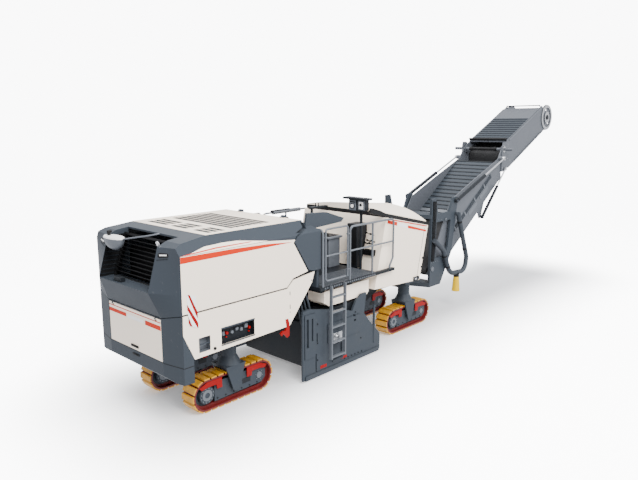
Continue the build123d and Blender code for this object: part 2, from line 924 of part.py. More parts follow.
with BuildPart() as guard_rails:
    for side_name, sign in sides:
        y = sign * rail_y
        # The rear hoop beside the gate, and the long frame beside the platform.
        hoop = bent_tube(
            (
                (hoop_x, y, platform_top),
                (hoop_x, y, hoop_top),
                (hoop_x, sign * hoop_inner, hoop_top),
                (hoop_x, sign * hoop_inner, platform_top),
            ),
            rail_tube,
            80,
            rail_flats,
        )
        long_frame = bent_tube(
            (
                (rail_rear, y, platform_top),
                (rail_rear, y, rail_top),
                (rail_front, y, rail_top),
                (rail_front, y, 2020),
                (rail_front - 110, y, platform_top + 60),
                (rail_front - 110, y, platform_top),
            ),
            rail_tube,
            90,
            rail_flats,
        )
        add(hoop)
        add(long_frame)
        # Middle rail and post.
        with BuildSketch(Plane.YZ.offset(rail_rear)):
            with Locations((y, rail_mid)):
                RegularPolygon(rail_tube - 3, rail_flats)
        extrude(amount=rail_front - rail_rear)
        with BuildSketch(Plane.XY.offset(platform_top)):
            with Locations((station(4875), y)):
                RegularPolygon(rail_tube, rail_flats)
        extrude(amount=rail_top - platform_top)
        # Rings round the gate's post.
        for low in (2020, 2720):
            with BuildSketch(Plane.XY.offset(low)):
                with Locations(((gate_hinge_x + rail_rear) / 2, y)):
                    Rectangle(rail_rear - gate_hinge_x, 24)
                with Locations((gate_hinge_x, y)):
                    Circle(rail_tube + 9)
                    Circle(rail_tube - 2, mode=Mode.SUBTRACT)
            extrude(amount=20)
    with BuildSketch(Plane.YZ.offset(station(4460))):
        with Locations((rail_y, rail_top)):
            Circle(pad_radius)
    extrude(amount=870)
guard_rails.part.label = "guard_rails"
export_step(guard_rails.part, "parts/guard_rails.step")

for side_name, sign in sides:
    y = sign * rail_y
    gate_loop = bent_tube(
        (
            (gate_hinge_x, y, 1890),
            (gate_hinge_x, y, 2890),
            (station(3450), y, 2890),
            (station(3450), y, 1900),
            (gate_hinge_x - 60, y, 1900),
        ),
        gate_tube,
        60,
    )
    with BuildPart() as gate:
        add(gate_loop)
        with BuildSketch(Plane.YZ.offset(station(3450))):
            with Locations((y, rail_mid)):
                Circle(gate_tube - 3)
        extrude(amount=gate_hinge_x - station(3450))
    gate.part.label = f"gate_{side_name}"
    export_step(gate.part, f"parts/gate_{side_name}.step")

ladder_reach = 60
ladder_low = 330
rung_gap = 300
with BuildPart() as ladders:
    for side_name, sign in sides:
        with BuildSketch(side_plane(sign, platform_half, platform_half + ladder_reach)):
            for x in (3550, 3950):
                with Locations((station(x), (ladder_low + platform_top) / 2)):
                    Rectangle(30, platform_top - ladder_low)
            for n in range(5):
                with Locations((station(3750), ladder_low + 40 + n * rung_gap)):
                    Rectangle(400, 30)
        extrude(amount=ladder_reach)
ladders.part.label = "ladders"
export_step(ladders.part, "parts/ladders.step")

# Controls: a twin panel across the right hand corner and a low armrest on the left.
console_x = station(4880)
console_depth = 110
console_boxes = (
    # middle y, width, underside
    (-725, 210, 3045),
    (-955, 205, 3060),
)
console_top = 3290
visor_inner = 500
visor_outer = 1130
visor_sheet = 40
armrest_y = 520
armrest_low = 2965
armrest_sheet = 45
with BuildPart() as operator_console:
    for y, width, low in console_boxes:
        with BuildSketch(Plane.YZ.offset(console_x)):
            with Locations((y, (low + console_top) / 2)):
                RectangleRounded(width, console_top - low, 20)
        extrude(amount=console_depth)
    with BuildSketch(Plane.XY.offset(console_top)):
        with Locations((console_x + 40, -(visor_inner + visor_outer) / 2)):
            Rectangle(2 * console_depth - 20, visor_outer - visor_inner)
    extrude(amount=visor_sheet)
    with BuildSketch(Plane.YZ.offset(console_x + console_depth)):
        with Locations((-837, (3080 + console_top) / 2)):
            Rectangle(430, console_top - 3080)
    extrude(amount=20)
    with BuildSketch(Plane.XY.offset(armrest_low)):
        with Locations((station(5165), armrest_y)):
            Rectangle(530, 110)
    extrude(amount=armrest_sheet)
    # Posts up from the platform, and two levers on the armrest.
    for x, y, low, high, radius in (
        (console_x + console_depth + 10, -860, platform_top, 3120, 30),
        (console_x + 80, armrest_y, platform_top, armrest_low, 30),
        (console_x + 200, armrest_y, armrest_low, 3090, 12),
        (console_x + 300, armrest_y, armrest_low, 3090, 12),
    ):
        with BuildSketch(Plane.XY.offset(low)):
            with Locations((x, y)):
                Circle(radius)
        extrude(amount=high - low)
operator_console.part.label = "operator_console"
export_step(operator_console.part, "parts/operator_console.step")

# Cream boxes under the platform's edge, hung from the outriggers.
box_outer = 1130
box_inner = 700
box_low = 1330
with BuildPart() as platform_boxes:
    for side_name, sign in sides:
        with BuildSketch(side_plane(sign, box_inner, box_outer)):
            with BuildLine():
                Polyline(
                    (station(3560), box_low + 90),
                    (station(3560), 1640),
                    (station(4940), 1640),
                    (station(4940), box_low + 60),
                    (station(4880), box_low),
                    (station(3700), box_low),
                    close=True,
                )
            make_face()
        extrude(amount=box_outer - box_inner)
platform_boxes.part.label = "platform_boxes"
export_step(platform_boxes.part, "parts/platform_boxes.step")

# ---- front housing and its cover ----
housing_half = 1190
with BuildPart() as front_housing:
    with BuildSketch(Plane.XZ):
        with BuildLine():
            Polyline(
                (station(5070), 1400),
                (station(5430), 2890),
                (station(7050), 2540),
                (station(6760), 1300),
                close=True,
            )
        make_face()
    extrude(amount=housing_half, both=True)
    low_face = front_housing.faces().sort_by(Axis.Z)[0:1]
    offset(amount=-sheet, openings=low_face)
    # The front columns' sleeves, the rails and the belly conveyor pass through the walls.
    with BuildSketch(Plane.XY.offset(1000)):
        for sign_name, sign in sides:
            with Locations((front_axle_x, sign * track_y)):
                Rectangle(2 * (sleeve_half + wall_gap), 2 * (sleeve_half + wall_gap))
    extrude(amount=sleeve_high + 10 - 1000, mode=Mode.SUBTRACT)
    with BuildSketch(Plane.YZ.offset(station(5000))):
        with Locations((0, 1350)):
            Rectangle(2 * (rail_outer + wall_gap), 900)
    extrude(amount=2200, mode=Mode.SUBTRACT)
front_housing.part.label = "front_housing"
export_step(front_housing.part, "parts/front_housing.step")

skirt_half = 1150
roof_rear_x = station(5450)
roof_front_x = station(7050)
with BuildPart() as cover_skirt:
    with BuildSketch(Plane.XZ):
        with BuildLine():
            Polyline(
                (roof_rear_x, 2886),
                (roof_rear_x, 2975),
                (roof_front_x, 2615),
                (roof_front_x, 2540),
                close=True,
            )
        make_face()
    extrude(amount=skirt_half, both=True)
    # Its right hand rear corner turns up.
    with BuildSketch(span_plane(-skirt_half, -skirt_half + 80)):
        with BuildLine():
            Polyline(
                (station(4930), 3030),
                (station(5040), 3115),
                (station(5300), 3040),
                (roof_rear_x, 2975),
                (roof_rear_x, 2900),
                close=True,
            )
        make_face()
    extrude(amount=80)
cover_skirt.part.label = "cover_skirt"
export_step(cover_skirt.part, "parts/cover_skirt.step")

cover_half = 1130
roof_sections = (
    # x, underside, eaves, crown
    (roof_rear_x, 2975, 2990, 3105),
    (roof_front_x, 2615, 2635, 2950),
)
with BuildPart() as front_cover:
    for x, low, eaves, crown in roof_sections:
        with BuildSketch(Plane.YZ.offset(x)):
            with BuildLine():
                ThreePointArc((-cover_half, eaves), (0, crown), (cover_half, eaves))
                Polyline(
                    (cover_half, eaves),
                    (cover_half, low),
                    (-cover_half, low),
                    (-cover_half, eaves),
                )
            make_face()
    loft(ruled=True)
front_cover.part.label = "front_cover"
export_step(front_cover.part, "parts/front_cover.step")

# ---- drum, its housing, scraper and side plates ----
drum_x = station(4100)
drum_z = 560
drum_radius = 380
tool_reach = 500
drum_half = 1000
housing_bore = 545
housing_wall = 35
housing_outer = 1100
housing_top = 1260
plate_inner = 1150
plate_outer = 1195
guide_radius = 26
guide_bars = (
    # distance ahead of the rear edge, foot, head
    (2900, 50, 1350),
    (5060, 250, 1080),
)
patch_sheet = 20
raised_patches = (
    # distance ahead of the rear edge, height, length, height over all
    (3085, 890, 290, 860),
    (4080, 810, 1000, 380),
    (4090, 75, 2260, 90),
    (3880, 215, 320, 40),
)
plate_cuts = (
    # distance ahead of the rear edge, height, length, height over all, depth
    (3010, 960, 60, 560, 20),
    (3140, 1010, 40, 440, 20),
    (3290, 810, 30, 180, 30),
    (3260, 310, 30, 360, 30),
    (3880, 390, 280, 280, 25),
    (4390, 1000, 60, 40, 45),
    (4400, 900, 60, 40, 45),
)
tool_rows = 14
tool_turns = 3

with BuildPart() as drum_housing:
    with BuildSketch(span_plane(-housing_outer, housing_outer)):
        with BuildLine():
            Polyline(
                (station(3430), 400),
                (station(3430), 1060),
                (station(3640), housing_top),
                (station(4560), housing_top),
                (station(4800), 1060),
                (station(4800), 400),
                close=True,
            )
        make_face()
        with Locations((drum_x, drum_z)):
            Circle(housing_bore, mode=Mode.SUBTRACT)
        with Locations((drum_x, drum_z - housing_bore)):
            Rectangle(2 * housing_bore, 2 * housing_bore, mode=Mode.SUBTRACT)
    extrude(amount=2 * housing_outer)
    # End walls carry the drum's bearings.
    for side_name, sign in sides:
        with BuildSketch(side_plane(sign, housing_outer - 40, housing_outer)):
            with BuildLine():
                Polyline(
                    (station(3430), 400),
                    (station(3430), 1060),
                    (station(4800), 1060),
                    (station(4800), 400),
                    (drum_x + 250, 260),
                    (drum_x - 250, 260),
                    close=True,
                )
            make_face()
            with Locations((drum_x, drum_z)):
                Circle(91, mode=Mode.SUBTRACT)
        extrude(amount=40)
    # Seats under the rails, guides for the scraper and rubbing blocks for the side plates.
    for side_name, sign in sides:
        with BuildSketch(side_plane(sign, rail_inner, rail_outer)):
            with Locations((drum_x, (housing_top + rail_arch) / 2)):
                Rectangle(800, rail_arch - housing_top)
        extrude(amount=rail_outer - rail_inner)
        with BuildSketch(side_plane(sign, drum_half + 8, drum_half + 48)):
            with Locations((station(3390), 730)):
                Rectangle(110, 620)
        extrude(amount=40)
        with BuildSketch(side_plane(sign, housing_outer, plate_inner - 6)):
            for x in (3600, 4600):
                with Locations((station(x), 800)):
                    Rectangle(120, 300)
        extrude(amount=plate_inner - 6 - housing_outer)
    # The belly conveyor's mouth.
    with BuildSketch(Plane.YZ.offset(drum_x)):
        with Locations((0, 650)):
            Rectangle(2 * 400, 560)
    extrude(amount=900, mode=Mode.SUBTRACT)
drum_housing.part.label = "drum_housing"
export_step(drum_housing.part, "parts/drum_housing.step")

with BuildPart() as milling_drum:
    with BuildSketch(span_plane(-drum_half, drum_half)):
        with Locations((drum_x, drum_z)):
            Circle(drum_radius)
    extrude(amount=2 * drum_half)
    with BuildSketch(span_plane(-housing_outer, housing_outer)):
        with Locations((drum_x, drum_z)):
            Circle(90)
    extrude(amount=2 * housing_outer)
    # Tool holders in two spirals that meet in the middle.
    for row in range(tool_rows):
        for side_name, sign in sides:
            y = sign * (drum_half - 40 - row * (drum_half - 80) / (tool_rows - 1))
            for start in range(tool_turns):
                angle = 360 * start / tool_turns + row * 360 / tool_rows * 1.5
                tool_plane = Plane(
                    origin=(drum_x, y, drum_z),
                    x_dir=(0, 1, 0),
                    z_dir=(cos(radians(angle)), 0, sin(radians(angle))),
                )
                with BuildSketch(tool_plane.offset(drum_radius - 20)):
                    Rectangle(50, 90)
                extrude(amount=tool_reach - drum_radius, taper=8)
milling_drum.part.label = "milling_drum"
export_step(milling_drum.part, "parts/milling_drum.step")

with BuildPart() as scraper:
    with BuildSketch(Plane.YZ.offset(station(3375))):
        with Locations((0, 520)):
            Rectangle(2 * drum_half, 900)
    extrude(amount=45)
scraper.part.label = "scraper"
export_step(scraper.part, "parts/scraper.step")

for side_name, sign in sides:
    with BuildPart() as side_plate:
        with BuildSketch(side_plane(sign, plate_inner, plate_outer)):
            with BuildLine():
                Polyline(
                    (station(2900), 60),
                    (station(2900), 1400),
                    (station(3070), 1420),
                    (station(4010), 1210),
                    (station(4330), 1105),
                    (station(4460), 1300),
                    (station(4620), 1400),
                    (station(4790), 1400),
                    (station(4720), 970),
                    (station(4910), 750),
                    (station(5270), 390),
                    (station(5270), 60),
                    (station(5230), 30),
                    (station(2950), 30),
                    close=True,
                )
            make_face()
        extrude(amount=plate_outer - plate_inner)
        # Round guide bars stand at its rear edge and near its front, and a skid runs along its foot.
        for x, low, high in guide_bars:
            with BuildSketch(Plane.XY.offset(low)):
                with Locations((station(x), sign * (plate_outer - 5))):
                    Circle(guide_radius)
            extrude(amount=high - low)
        for x, z, length, height in raised_patches:
            with BuildSketch(side_plane(sign, plate_outer, plate_outer + patch_sheet)):
                with Locations((station(x), z)):
                    Rectangle(length, height)
            extrude(amount=patch_sheet)
        for x, z, length, height, depth in plate_cuts:
            with BuildSketch(side_plane(sign, plate_outer - depth, plate_outer + patch_sheet)):
                with Locations((station(x), z)):
                    Rectangle(length, height)
            extrude(amount=depth + patch_sheet, mode=Mode.SUBTRACT)
    side_plate.part.label = f"side_plate_{side_name}"
    export_step(side_plate.part, f"parts/side_plate_{side_name}.step")

# ---- belly conveyor ----
belly_x = station(4850)
belly_z = 520
belly_end_x = station(7850)
belly_end_z = 1730
belly_half = 340
belly_depth = 220
with BuildPart() as belly_conveyor:
    slope = degrees(atan2(belly_end_z - belly_z, belly_end_x - belly_x))
    belly_length = hypot(belly_end_z - belly_z, belly_end_x - belly_x)
    belly_plane = Plane(
        origin=((belly_x + belly_end_x) / 2, 0, (belly_z + belly_end_z) / 2),
        x_dir=(cos(radians(slope)), 0, sin(radians(slope))),
        z_dir=(0, -1, 0),
    )
    with BuildSketch(belly_plane):
        SlotOverall(belly_length, belly_depth)
    extrude(amount=belly_half, both=True)
    # Hangers to the rails.
    for side_name, sign in sides:
        with BuildSketch(side_plane(sign, belly_half, rail_inner)):
            with Locations((station(5600), 960)):
                Rectangle(90, 360)
            with Locations((station(7030), 1400)):
                Rectangle(90, 120)
        extrude(amount=rail_inner - belly_half)
belly_conveyor.part.label = "belly_conveyor"
export_step(belly_conveyor.part, "parts/belly_conveyor.step")

# ---- slew frame ----
slew_arm = 100
lower_arm_low = nose_low - wall_gap - slew_arm
upper_arm_low = arm_high + wall_gap
root_pin = 40

with BuildPart() as slew_frame:
    for low in (lower_arm_low, upper_arm_low):
        with BuildSketch(Plane.XY.offset(low)):
            with BuildLine():
                Polyline(
                    (slew_x - nose_end, -nose_end),
                    (slew_x + 150, -slew_plate_outer),
                    (slew_x + 450, -slew_plate_outer),
                    (slew_x + 450, slew_plate_outer),
                    (slew_x + 150, slew_plate_outer),
                    (slew_x - nose_end, nose_end),
                    close=True,
                )
            make_face()
        extrude(amount=slew_arm)
    # King pins through the nose and the arm.
    with BuildSketch(Plane.XY.offset(lower_arm_low + slew_arm)):
        with Locations((slew_x, 0)):
            Circle(king_radius)
    extrude(amount=nose_high - nose_low)
    with BuildSketch(Plane.XY.offset(arm_low)):
        with Locations((slew_x, 0)):
            Circle(king_radius)
    extrude(amount=arm_high + wall_gap - arm_low)
    for side_name, sign in sides:
        with BuildSketch(side_plane(sign, slew_plate_inner, slew_plate_outer)):
            with BuildLine():
                Polyline(
                    (slew_x + 150, lower_arm_low),
                    (slew_x + 650, lower_arm_low),
                    (slew_x + 1150, 1550),
                    (lift_base_x + 110, 2800),
                    (lift_base_x + 110, lift_base_z + 80),
                    (lift_base_x - 90, lift_base_z + 80),
                    (slew_x + 1000, upper_arm_low + slew_arm),
                    (slew_x + 450, upper_arm_low + slew_arm),
                    (slew_x + 330, 3020),
                    (slew_x + 150, 3020),
                    close=True,
                )
            make_face()
            with BuildLine():
                Polyline(
                    (slew_x + 380, 1500),
                    (slew_x + 380, 2420),
                    (slew_x + 1060, 2420),
                    (slew_x + 960, 1720),
                    (slew_x + 820, 1500),
                    close=True,
                )
            make_face(mode=Mode.SUBTRACT)
        extrude(amount=slew_plate_outer - slew_plate_inner)
        # Lift pins inwards, cylinder pins outwards.
        with BuildSketch(side_plane(sign, trough_half + 2, slew_plate_inner)):
            with Locations((root_x, root_z)):
                Circle(root_pin)
        extrude(amount=slew_plate_inner - trough_half - 2)
        with BuildSketch(side_plane(sign, slew_plate_outer, lift_cylinder_y + 35)):
            with Locations((lift_base_x, lift_base_z)):
                Circle(30)
        extrude(amount=lift_cylinder_y + 35 - slew_plate_outer)
slew_frame.part.label = "slew_frame"
export_step(slew_frame.part, "parts/slew_frame.step")

duct_radius = 62
duct_y = -slew_plate_outer - 15 - duct_radius
duct_bends = (
    # distance ahead of the rear edge, height
    (7990, 1990),
    (8420, 1700),
    (8780, 1010),
    (9560, 960),
    (9620, 1330),
    (9100, 2560),
)
collar_x = station(9130)
collar_low = 880
collar_height = 110
with BuildPart() as dust_duct:
    with BuildLine() as duct_path:
        FilletPolyline(
            *[(station(x), duct_y, z) for x, z in duct_bends],
            radius=(260, 380, 240, 160),
        )
    with BuildSketch(Plane(origin=duct_path.line @ 0, z_dir=duct_path.line % 0)):
        Circle(duct_radius)
    sweep(path=duct_path.line)
    for x, z in ((8020, 1970), (9080, 2560)):
        with BuildSketch(Plane.XZ.offset(slew_plate_outer)):
            with Locations((station(x), z)):
                Rectangle(60, 60)
        extrude(amount=60)
    # A collar under the lower run holds the sleeve.
    with BuildSketch(Plane.XY.offset(collar_low)):
        with Locations((collar_x, duct_y)):
            Circle(duct_radius + 6)
    extrude(amount=collar_height)
dust_duct.part.label = "dust_duct"
export_step(dust_duct.part, "parts/dust_duct.step")

sleeve_hem = 480
with BuildPart() as duct_sleeve:
    with BuildSketch(Plane.XY.offset(sleeve_hem)):
        with Locations((collar_x, duct_y)):
            Circle(duct_radius)
    with BuildSketch(Plane.XY.offset(collar_low)):
        with Locations((collar_x, duct_y)):
            Circle(0.8 * duct_radius)
    loft()
duct_sleeve.part.label = "duct_sleeve"
export_step(duct_sleeve.part, "parts/duct_sleeve.step")

# ---- lower conveyor ----
lower_plane = Plane(
    origin=(root_x, 0, root_z),
    x_dir=(cos(radians(lower_pitch)), 0, sin(radians(lower_pitch))),
    z_dir=(0, -1, 0),
)
joint_x = station(11750)
joint_z = 3320
trough_outer = trough_half + trough_wall
walls_top_x = station(11530)
walls_top_z = 3860

with BuildPart() as lower_frame:
    for side_name, sign in sides:
        with BuildSketch(side_plane(sign, trough_half, trough_outer)):
            with BuildLine():
                Polyline(
                    (station(7970), 1090),
                    (station(8330), 1000),
                    (station(9010), 1460),
                    (joint_x, joint_z),
                    (joint_x - 60, walls_top_z),
                    (walls_top_x, walls_top_z),
                    (station(10000), 3290),
                    (station(9040), 2910),
                    (station(8800), 2560),
                    close=True,
                )
            make_face()
            with Locations((root_x, root_z)):
                Circle(root_pin + 1, mode=Mode.SUBTRACT)
        extrude(amount=trough_wall)
        # Ears reach up to the fold pin, and lugs hang down to the fold cylinders' feet.
        with BuildSketch(side_plane(sign, trough_half, trough_outer)):
            with BuildLine():
                Polyline(
                    (joint_x, joint_z + 200),
                    (fold_x + 55, fold_z - 60),
                    (fold_x + 60, fold_z + 40),
                    (fold_x - 60, fold_z + 40),
                    (walls_top_x, walls_top_z),
                    (joint_x - 200, joint_z),
                    close=True,
                )
            make_face()
            with BuildLine():
                Polyline(
                    (fold_base_x - 150, fold_base_z + 150),
                    (fold_base_x - 45, fold_base_z - 45),
                    (fold_base_x + 45, fold_base_z - 45),
                    (fold_base_x + 200, fold_base_z + 400),
                    close=True,
                )
            make_face()
        extrude(amount=trough_wall)
        with BuildSketch(side_plane(sign, trough_outer, fold_cylinder_y + 40)):
            with Locations((fold_base_x, fold_base_z)):
                Circle(25)
        extrude(amount=fold_cylinder_y + 40 - trough_outer)
        # Bosses that the lift rods' eyes stand by.
        with BuildSketch(side_plane(sign, trough_outer, lift_cylinder_y - 35)):
            with Locations((lift_eye_x, lift_eye_z)):
                Circle(60)
        extrude(amount=lift_cylinder_y - 35 - trough_outer)
    # Bottom pan, hinge tube and cross ties.
    with BuildSketch(Plane.XZ):
        with BuildLine():
            Polyline(
                (station(8330), 1000),
                (station(9010), 1460),
                (joint_x, joint_z),
                (joint_x - 17, joint_z + 25),
                (station(9000), 1490),
                (station(8320), 1030),
                close=True,
            )
        make_face()
    extrude(amount=trough_half, both=True)
    with BuildSketch(Plane.XZ):
        with Locations((fold_x, fold_z)):
            Circle(fold_pin)
    extrude(amount=fold_bar_half, both=True)
lower_frame.part.label = "lower_conveyor_frame"
export_step(lower_frame.part, "parts/lower_conveyor_frame.step")

with BuildPart() as lower_belt:
    with BuildSketch(lower_plane):
        with Locations((1960, -80)):
            SlotOverall(4200, 180)
    extrude(amount=trough_half - 30, both=True)
lower_belt.part.label = "lower_conveyor_belt"
export_step(lower_belt.part, "parts/lower_conveyor_belt.step")

with BuildPart() as lower_cover:
    with BuildSketch(lower_plane):
        with BuildLine():
            Polyline(
                (1700, 60),
                (1760, 240),
                (4120, 240),
                (4120, 210),
                (1790, 210),
                (1740, 60),
                close=True,
            )
        make_face()
    extrude(amount=trough_half, both=True)
lower_cover.part.label = "lower_conveyor_cover"
export_step(lower_cover.part, "parts/lower_conveyor_cover.step")

# ---- upper conveyor ----
upper_plane = Plane(
    origin=(fold_x, 0, fold_z),
    x_dir=(cos(radians(upper_pitch)), 0, sin(radians(upper_pitch))),
    z_dir=(0, -1, 0),
)
upper_half = trough_half - 5
head_u = 3100
head_v = -380
head_radius = 400
head_bore = 61
head_holes = 5
head_hole = 45
head_hole_ring = 240
upper_low = -700
bracket_inner = trough_outer + 6
upper_high = 100

with BuildPart() as upper_frame:
    for side_name, sign in sides:
        plane = Plane(
            origin=upper_plane.origin + Vector(0, max(sign * upper_half, sign * (upper_half - trough_wall)), 0),
            x_dir=upper_plane.x_dir,
            z_dir=upper_plane.z_dir,
        )
        with BuildSketch(plane):
            with BuildLine():
                Polyline(
                    (60, upper_low + 60),
                    (200, upper_low),
                    (head_u - 200, upper_low),
                    (head_u, head_v),
                    (head_u - 180, upper_high),
                    (300, upper_high),
                    (-80, 60),
                    (-80, -60),
                    (60, -160),
                    close=True,
                )
            make_face()
            with Locations((0, 0)):
                Circle(fold_pin + 2, mode=Mode.SUBTRACT)
            # The head's round end, pierced round the drum's axle.
            with Locations((head_u, head_v)):
                Circle(head_radius)
                Circle(head_bore, mode=Mode.SUBTRACT)
                with PolarLocations(head_hole_ring, head_holes):
                    Circle(head_hole, mode=Mode.SUBTRACT)
        extrude(amount=trough_wall)
        # Bracket plates outside the lower section's walls, joined past its end.
        with BuildSketch(side_plane(sign, bracket_inner, bracket_inner + trough_wall)):
            with BuildLine():
                Polyline(
                    (fold_x - 100, fold_z - 640),
                    (fold_x - 100, fold_z + 60),
                    (fold_x - 60, fold_z + 200),
                    (fold_x + 120, fold_z + 200),
                    (fold_x + 380, fold_z + 60),
                    (fold_x + 380, fold_z - 420),
                    (fold_x + 150, fold_z - 640),
                    close=True,
                )
            make_face()
            with Locations((fold_x, fold_z)):
                Circle(fold_pin + 2, mode=Mode.SUBTRACT)
        extrude(amount=trough_wall)
        with BuildSketch(side_plane(sign, upper_half, bracket_inner)):
            with BuildLine():
                Polyline(
                    (fold_x + 130, fold_z - 400),
                    (fold_x + 130, fold_z + 30),
                    (fold_x + 350, fold_z + 60),
                    (fold_x + 350, fold_z - 400),
                    close=True,
                )
            make_face()
        extrude(amount=bracket_inner - upper_half)
    inner = upper_half - trough_wall
    with BuildSketch(upper_plane):
        with BuildLine():
            Polyline((300, upper_high), (2760, upper_high), (2760, upper_high - 25), (300, upper_high - 25), close=True)
        make_face()
        with BuildLine():
            Polyline((200, upper_low), (2700, upper_low), (2700, upper_low + 20), (200, upper_low + 20), close=True)
        make_face()
    extrude(amount=inner, both=True)
upper_frame.part.label = "upper_conveyor_frame"
export_step(upper_frame.part, "parts/upper_conveyor_frame.step")

with BuildPart() as upper_belt:
    with BuildSketch(upper_plane):
        with Locations(((head_u + 260) / 2, head_v)):
            SlotOverall(head_u + 180, 420)
            SlotOverall(head_u + 160, 400, mode=Mode.SUBTRACT)
    extrude(amount=inner - 30, both=True)
upper_belt.part.label = "upper_conveyor_belt"
export_step(upper_belt.part, "parts/upper_conveyor_belt.step")

with BuildPart() as head_drum:
    with BuildSketch(upper_plane):
        with Locations((head_u, head_v)):
            Circle(190)
    extrude(amount=inner - 40, both=True)
    with BuildSketch(upper_plane):
        with Locations((head_u, head_v)):
            Circle(60)
    extrude(amount=upper_half + 60, both=True)
head_drum.part.label = "head_drum"
export_step(head_drum.part, "parts/head_drum.step")

# ---- lift cylinders ----
lift_run_x = lift_eye_x - lift_base_x
lift_run_z = lift_eye_z - lift_base_z
lift_angle = degrees(atan2(lift_run_z, lift_run_x))
lift_length = hypot(lift_run_x, lift_run_z)
lift_plane = Plane(
    origin=(lift_base_x, 0, lift_base_z),
    x_dir=(cos(radians(lift_angle)), 0, sin(radians(lift_angle))),
    z_dir=(0, -1, 0),
)
lift_barrel_radius = 48
lift_rod_radius = 24
barrel_start = 45
lift_barrel_length = 1500
lift_rod_start = 1040
eye_half = 25

with BuildPart() as lift_barrels:
    for side_name, sign in sides:
        axis_plane = Plane(
            origin=Vector(lift_base_x, sign * lift_cylinder_y, lift_base_z),
            x_dir=(0, 1, 0),
            z_dir=lift_plane.x_dir,
        )
        with BuildSketch(axis_plane.offset(barrel_start)):
            Circle(lift_barrel_radius)
        extrude(amount=lift_barrel_length)
        with BuildSketch(axis_plane.offset(barrel_start)):
            Circle(lift_rod_radius + 0.5)
        extrude(amount=lift_barrel_length, mode=Mode.SUBTRACT)
        with BuildSketch(axis_plane.offset(barrel_start)):
            Circle(lift_barrel_radius)
        extrude(amount=20)
        with BuildSketch(Plane.XZ.offset(-sign * lift_cylinder_y)):
            with Locations((lift_base_x, lift_base_z)):
                Circle(60)
        extrude(amount=eye_half, both=True)
        with BuildSketch(Plane.XZ.offset(-sign * lift_cylinder_y)):
            with Locations((lift_base_x, lift_base_z)):
                Circle(31)
        extrude(amount=2 * eye_half, both=True, mode=Mode.SUBTRACT)
lift_barrels.part.label = "lift_barrels"
export_step(lift_barrels.part, "parts/lift_barrels.step")

with BuildPart() as lift_rods:
    for side_name, sign in sides:
        axis_plane = Plane(
            origin=Vector(lift_base_x, sign * lift_cylinder_y, lift_base_z),
            x_dir=(0, 1, 0),
            z_dir=lift_plane.x_dir,
        )
        with BuildSketch(axis_plane.offset(lift_rod_start)):
            Circle(lift_rod_radius)
        extrude(amount=lift_length - lift_rod_start - 40)
        with BuildSketch(Plane.XZ.offset(-sign * lift_cylinder_y)):
            with Locations((lift_eye_x, lift_eye_z)):
                Circle(55)
        extrude(amount=eye_half, both=True)
        with BuildSketch(Plane.XZ.offset(-sign * lift_cylinder_y)):
            with Locations((lift_eye_x, lift_eye_z)):
                Circle(30)
        extrude(amount=2 * eye_half, both=True, mode=Mode.SUBTRACT)
lift_rods.part.label = "lift_rods"
export_step(lift_rods.part, "parts/lift_rods.step")

# ---- fold cylinders ----
fold_run_x = fold_eye_x - fold_base_x
fold_run_z = fold_eye_z - fold_base_z
fold_length = hypot(fold_run_x, fold_run_z)
fold_direction = (fold_run_x / fold_length, 0, fold_run_z / fold_length)
fold_barrel_radius = 42
fold_rod_radius = 22
fold_barrel_length = 1130
fold_rod_start = 120

with BuildPart() as fold_barrels:
    for side_name, sign in sides:
        axis_plane = Plane(
            origin=Vector(fold_base_x, sign * fold_cylinder_y, fold_base_z),
            x_dir=(0, 1, 0),
            z_dir=fold_direction,
        )
        with BuildSketch(axis_plane):
            Circle(fold_barrel_radius)
        extrude(amount=fold_barrel_length)
        with BuildSketch(axis_plane.offset(60)):
            Circle(fold_rod_radius + 0.5)
        extrude(amount=fold_barrel_length, mode=Mode.SUBTRACT)
        with BuildSketch(Plane.XZ.offset(-sign * fold_cylinder_y)):
            with Locations((fold_base_x, fold_base_z)):
                Circle(50)
        extrude(amount=30, both=True)
        with BuildSketch(Plane.XZ.offset(-sign * fold_cylinder_y)):
            with Locations((fold_base_x, fold_base_z)):
                Circle(26)
        extrude(amount=60, both=True, mode=Mode.SUBTRACT)
fold_barrels.part.label = "fold_barrels"
export_step(fold_barrels.part, "parts/fold_barrels.step")

with BuildPart() as fold_rods:
    for side_name, sign in sides:
        axis_plane = Plane(
            origin=Vector(fold_base_x, sign * fold_cylinder_y, fold_base_z),
            x_dir=(0, 1, 0),
            z_dir=fold_direction,
        )
        with BuildSketch(axis_plane.offset(fold_rod_start)):
            Circle(fold_rod_radius)
        extrude(amount=fold_length - fold_rod_start)
        with BuildSketch(Plane.XZ.offset(-sign * fold_cylinder_y)):
            with Locations((fold_eye_x, fold_eye_z)):
                Circle(50)
        extrude(amount=25, both=True)
fold_rods.part.label = "fold_rods"
export_step(fold_rods.part, "parts/fold_rods.step")
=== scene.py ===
# %% [markdown]
# # A cold planer, dressed for the camera
#
# The machine's solids come ready made: hood, panels, tracks, drum and conveyor
# all stand at their real places, in metres, with +X ahead and +Z up. This lesson
# lights them as a studio would, gives them paint, rubber and steel, and then adds
# the thin things that sign makers and fitters add.

from math import cos, pi, radians, sin

import bmesh
import bpy
from mathutils import Matrix, Vector


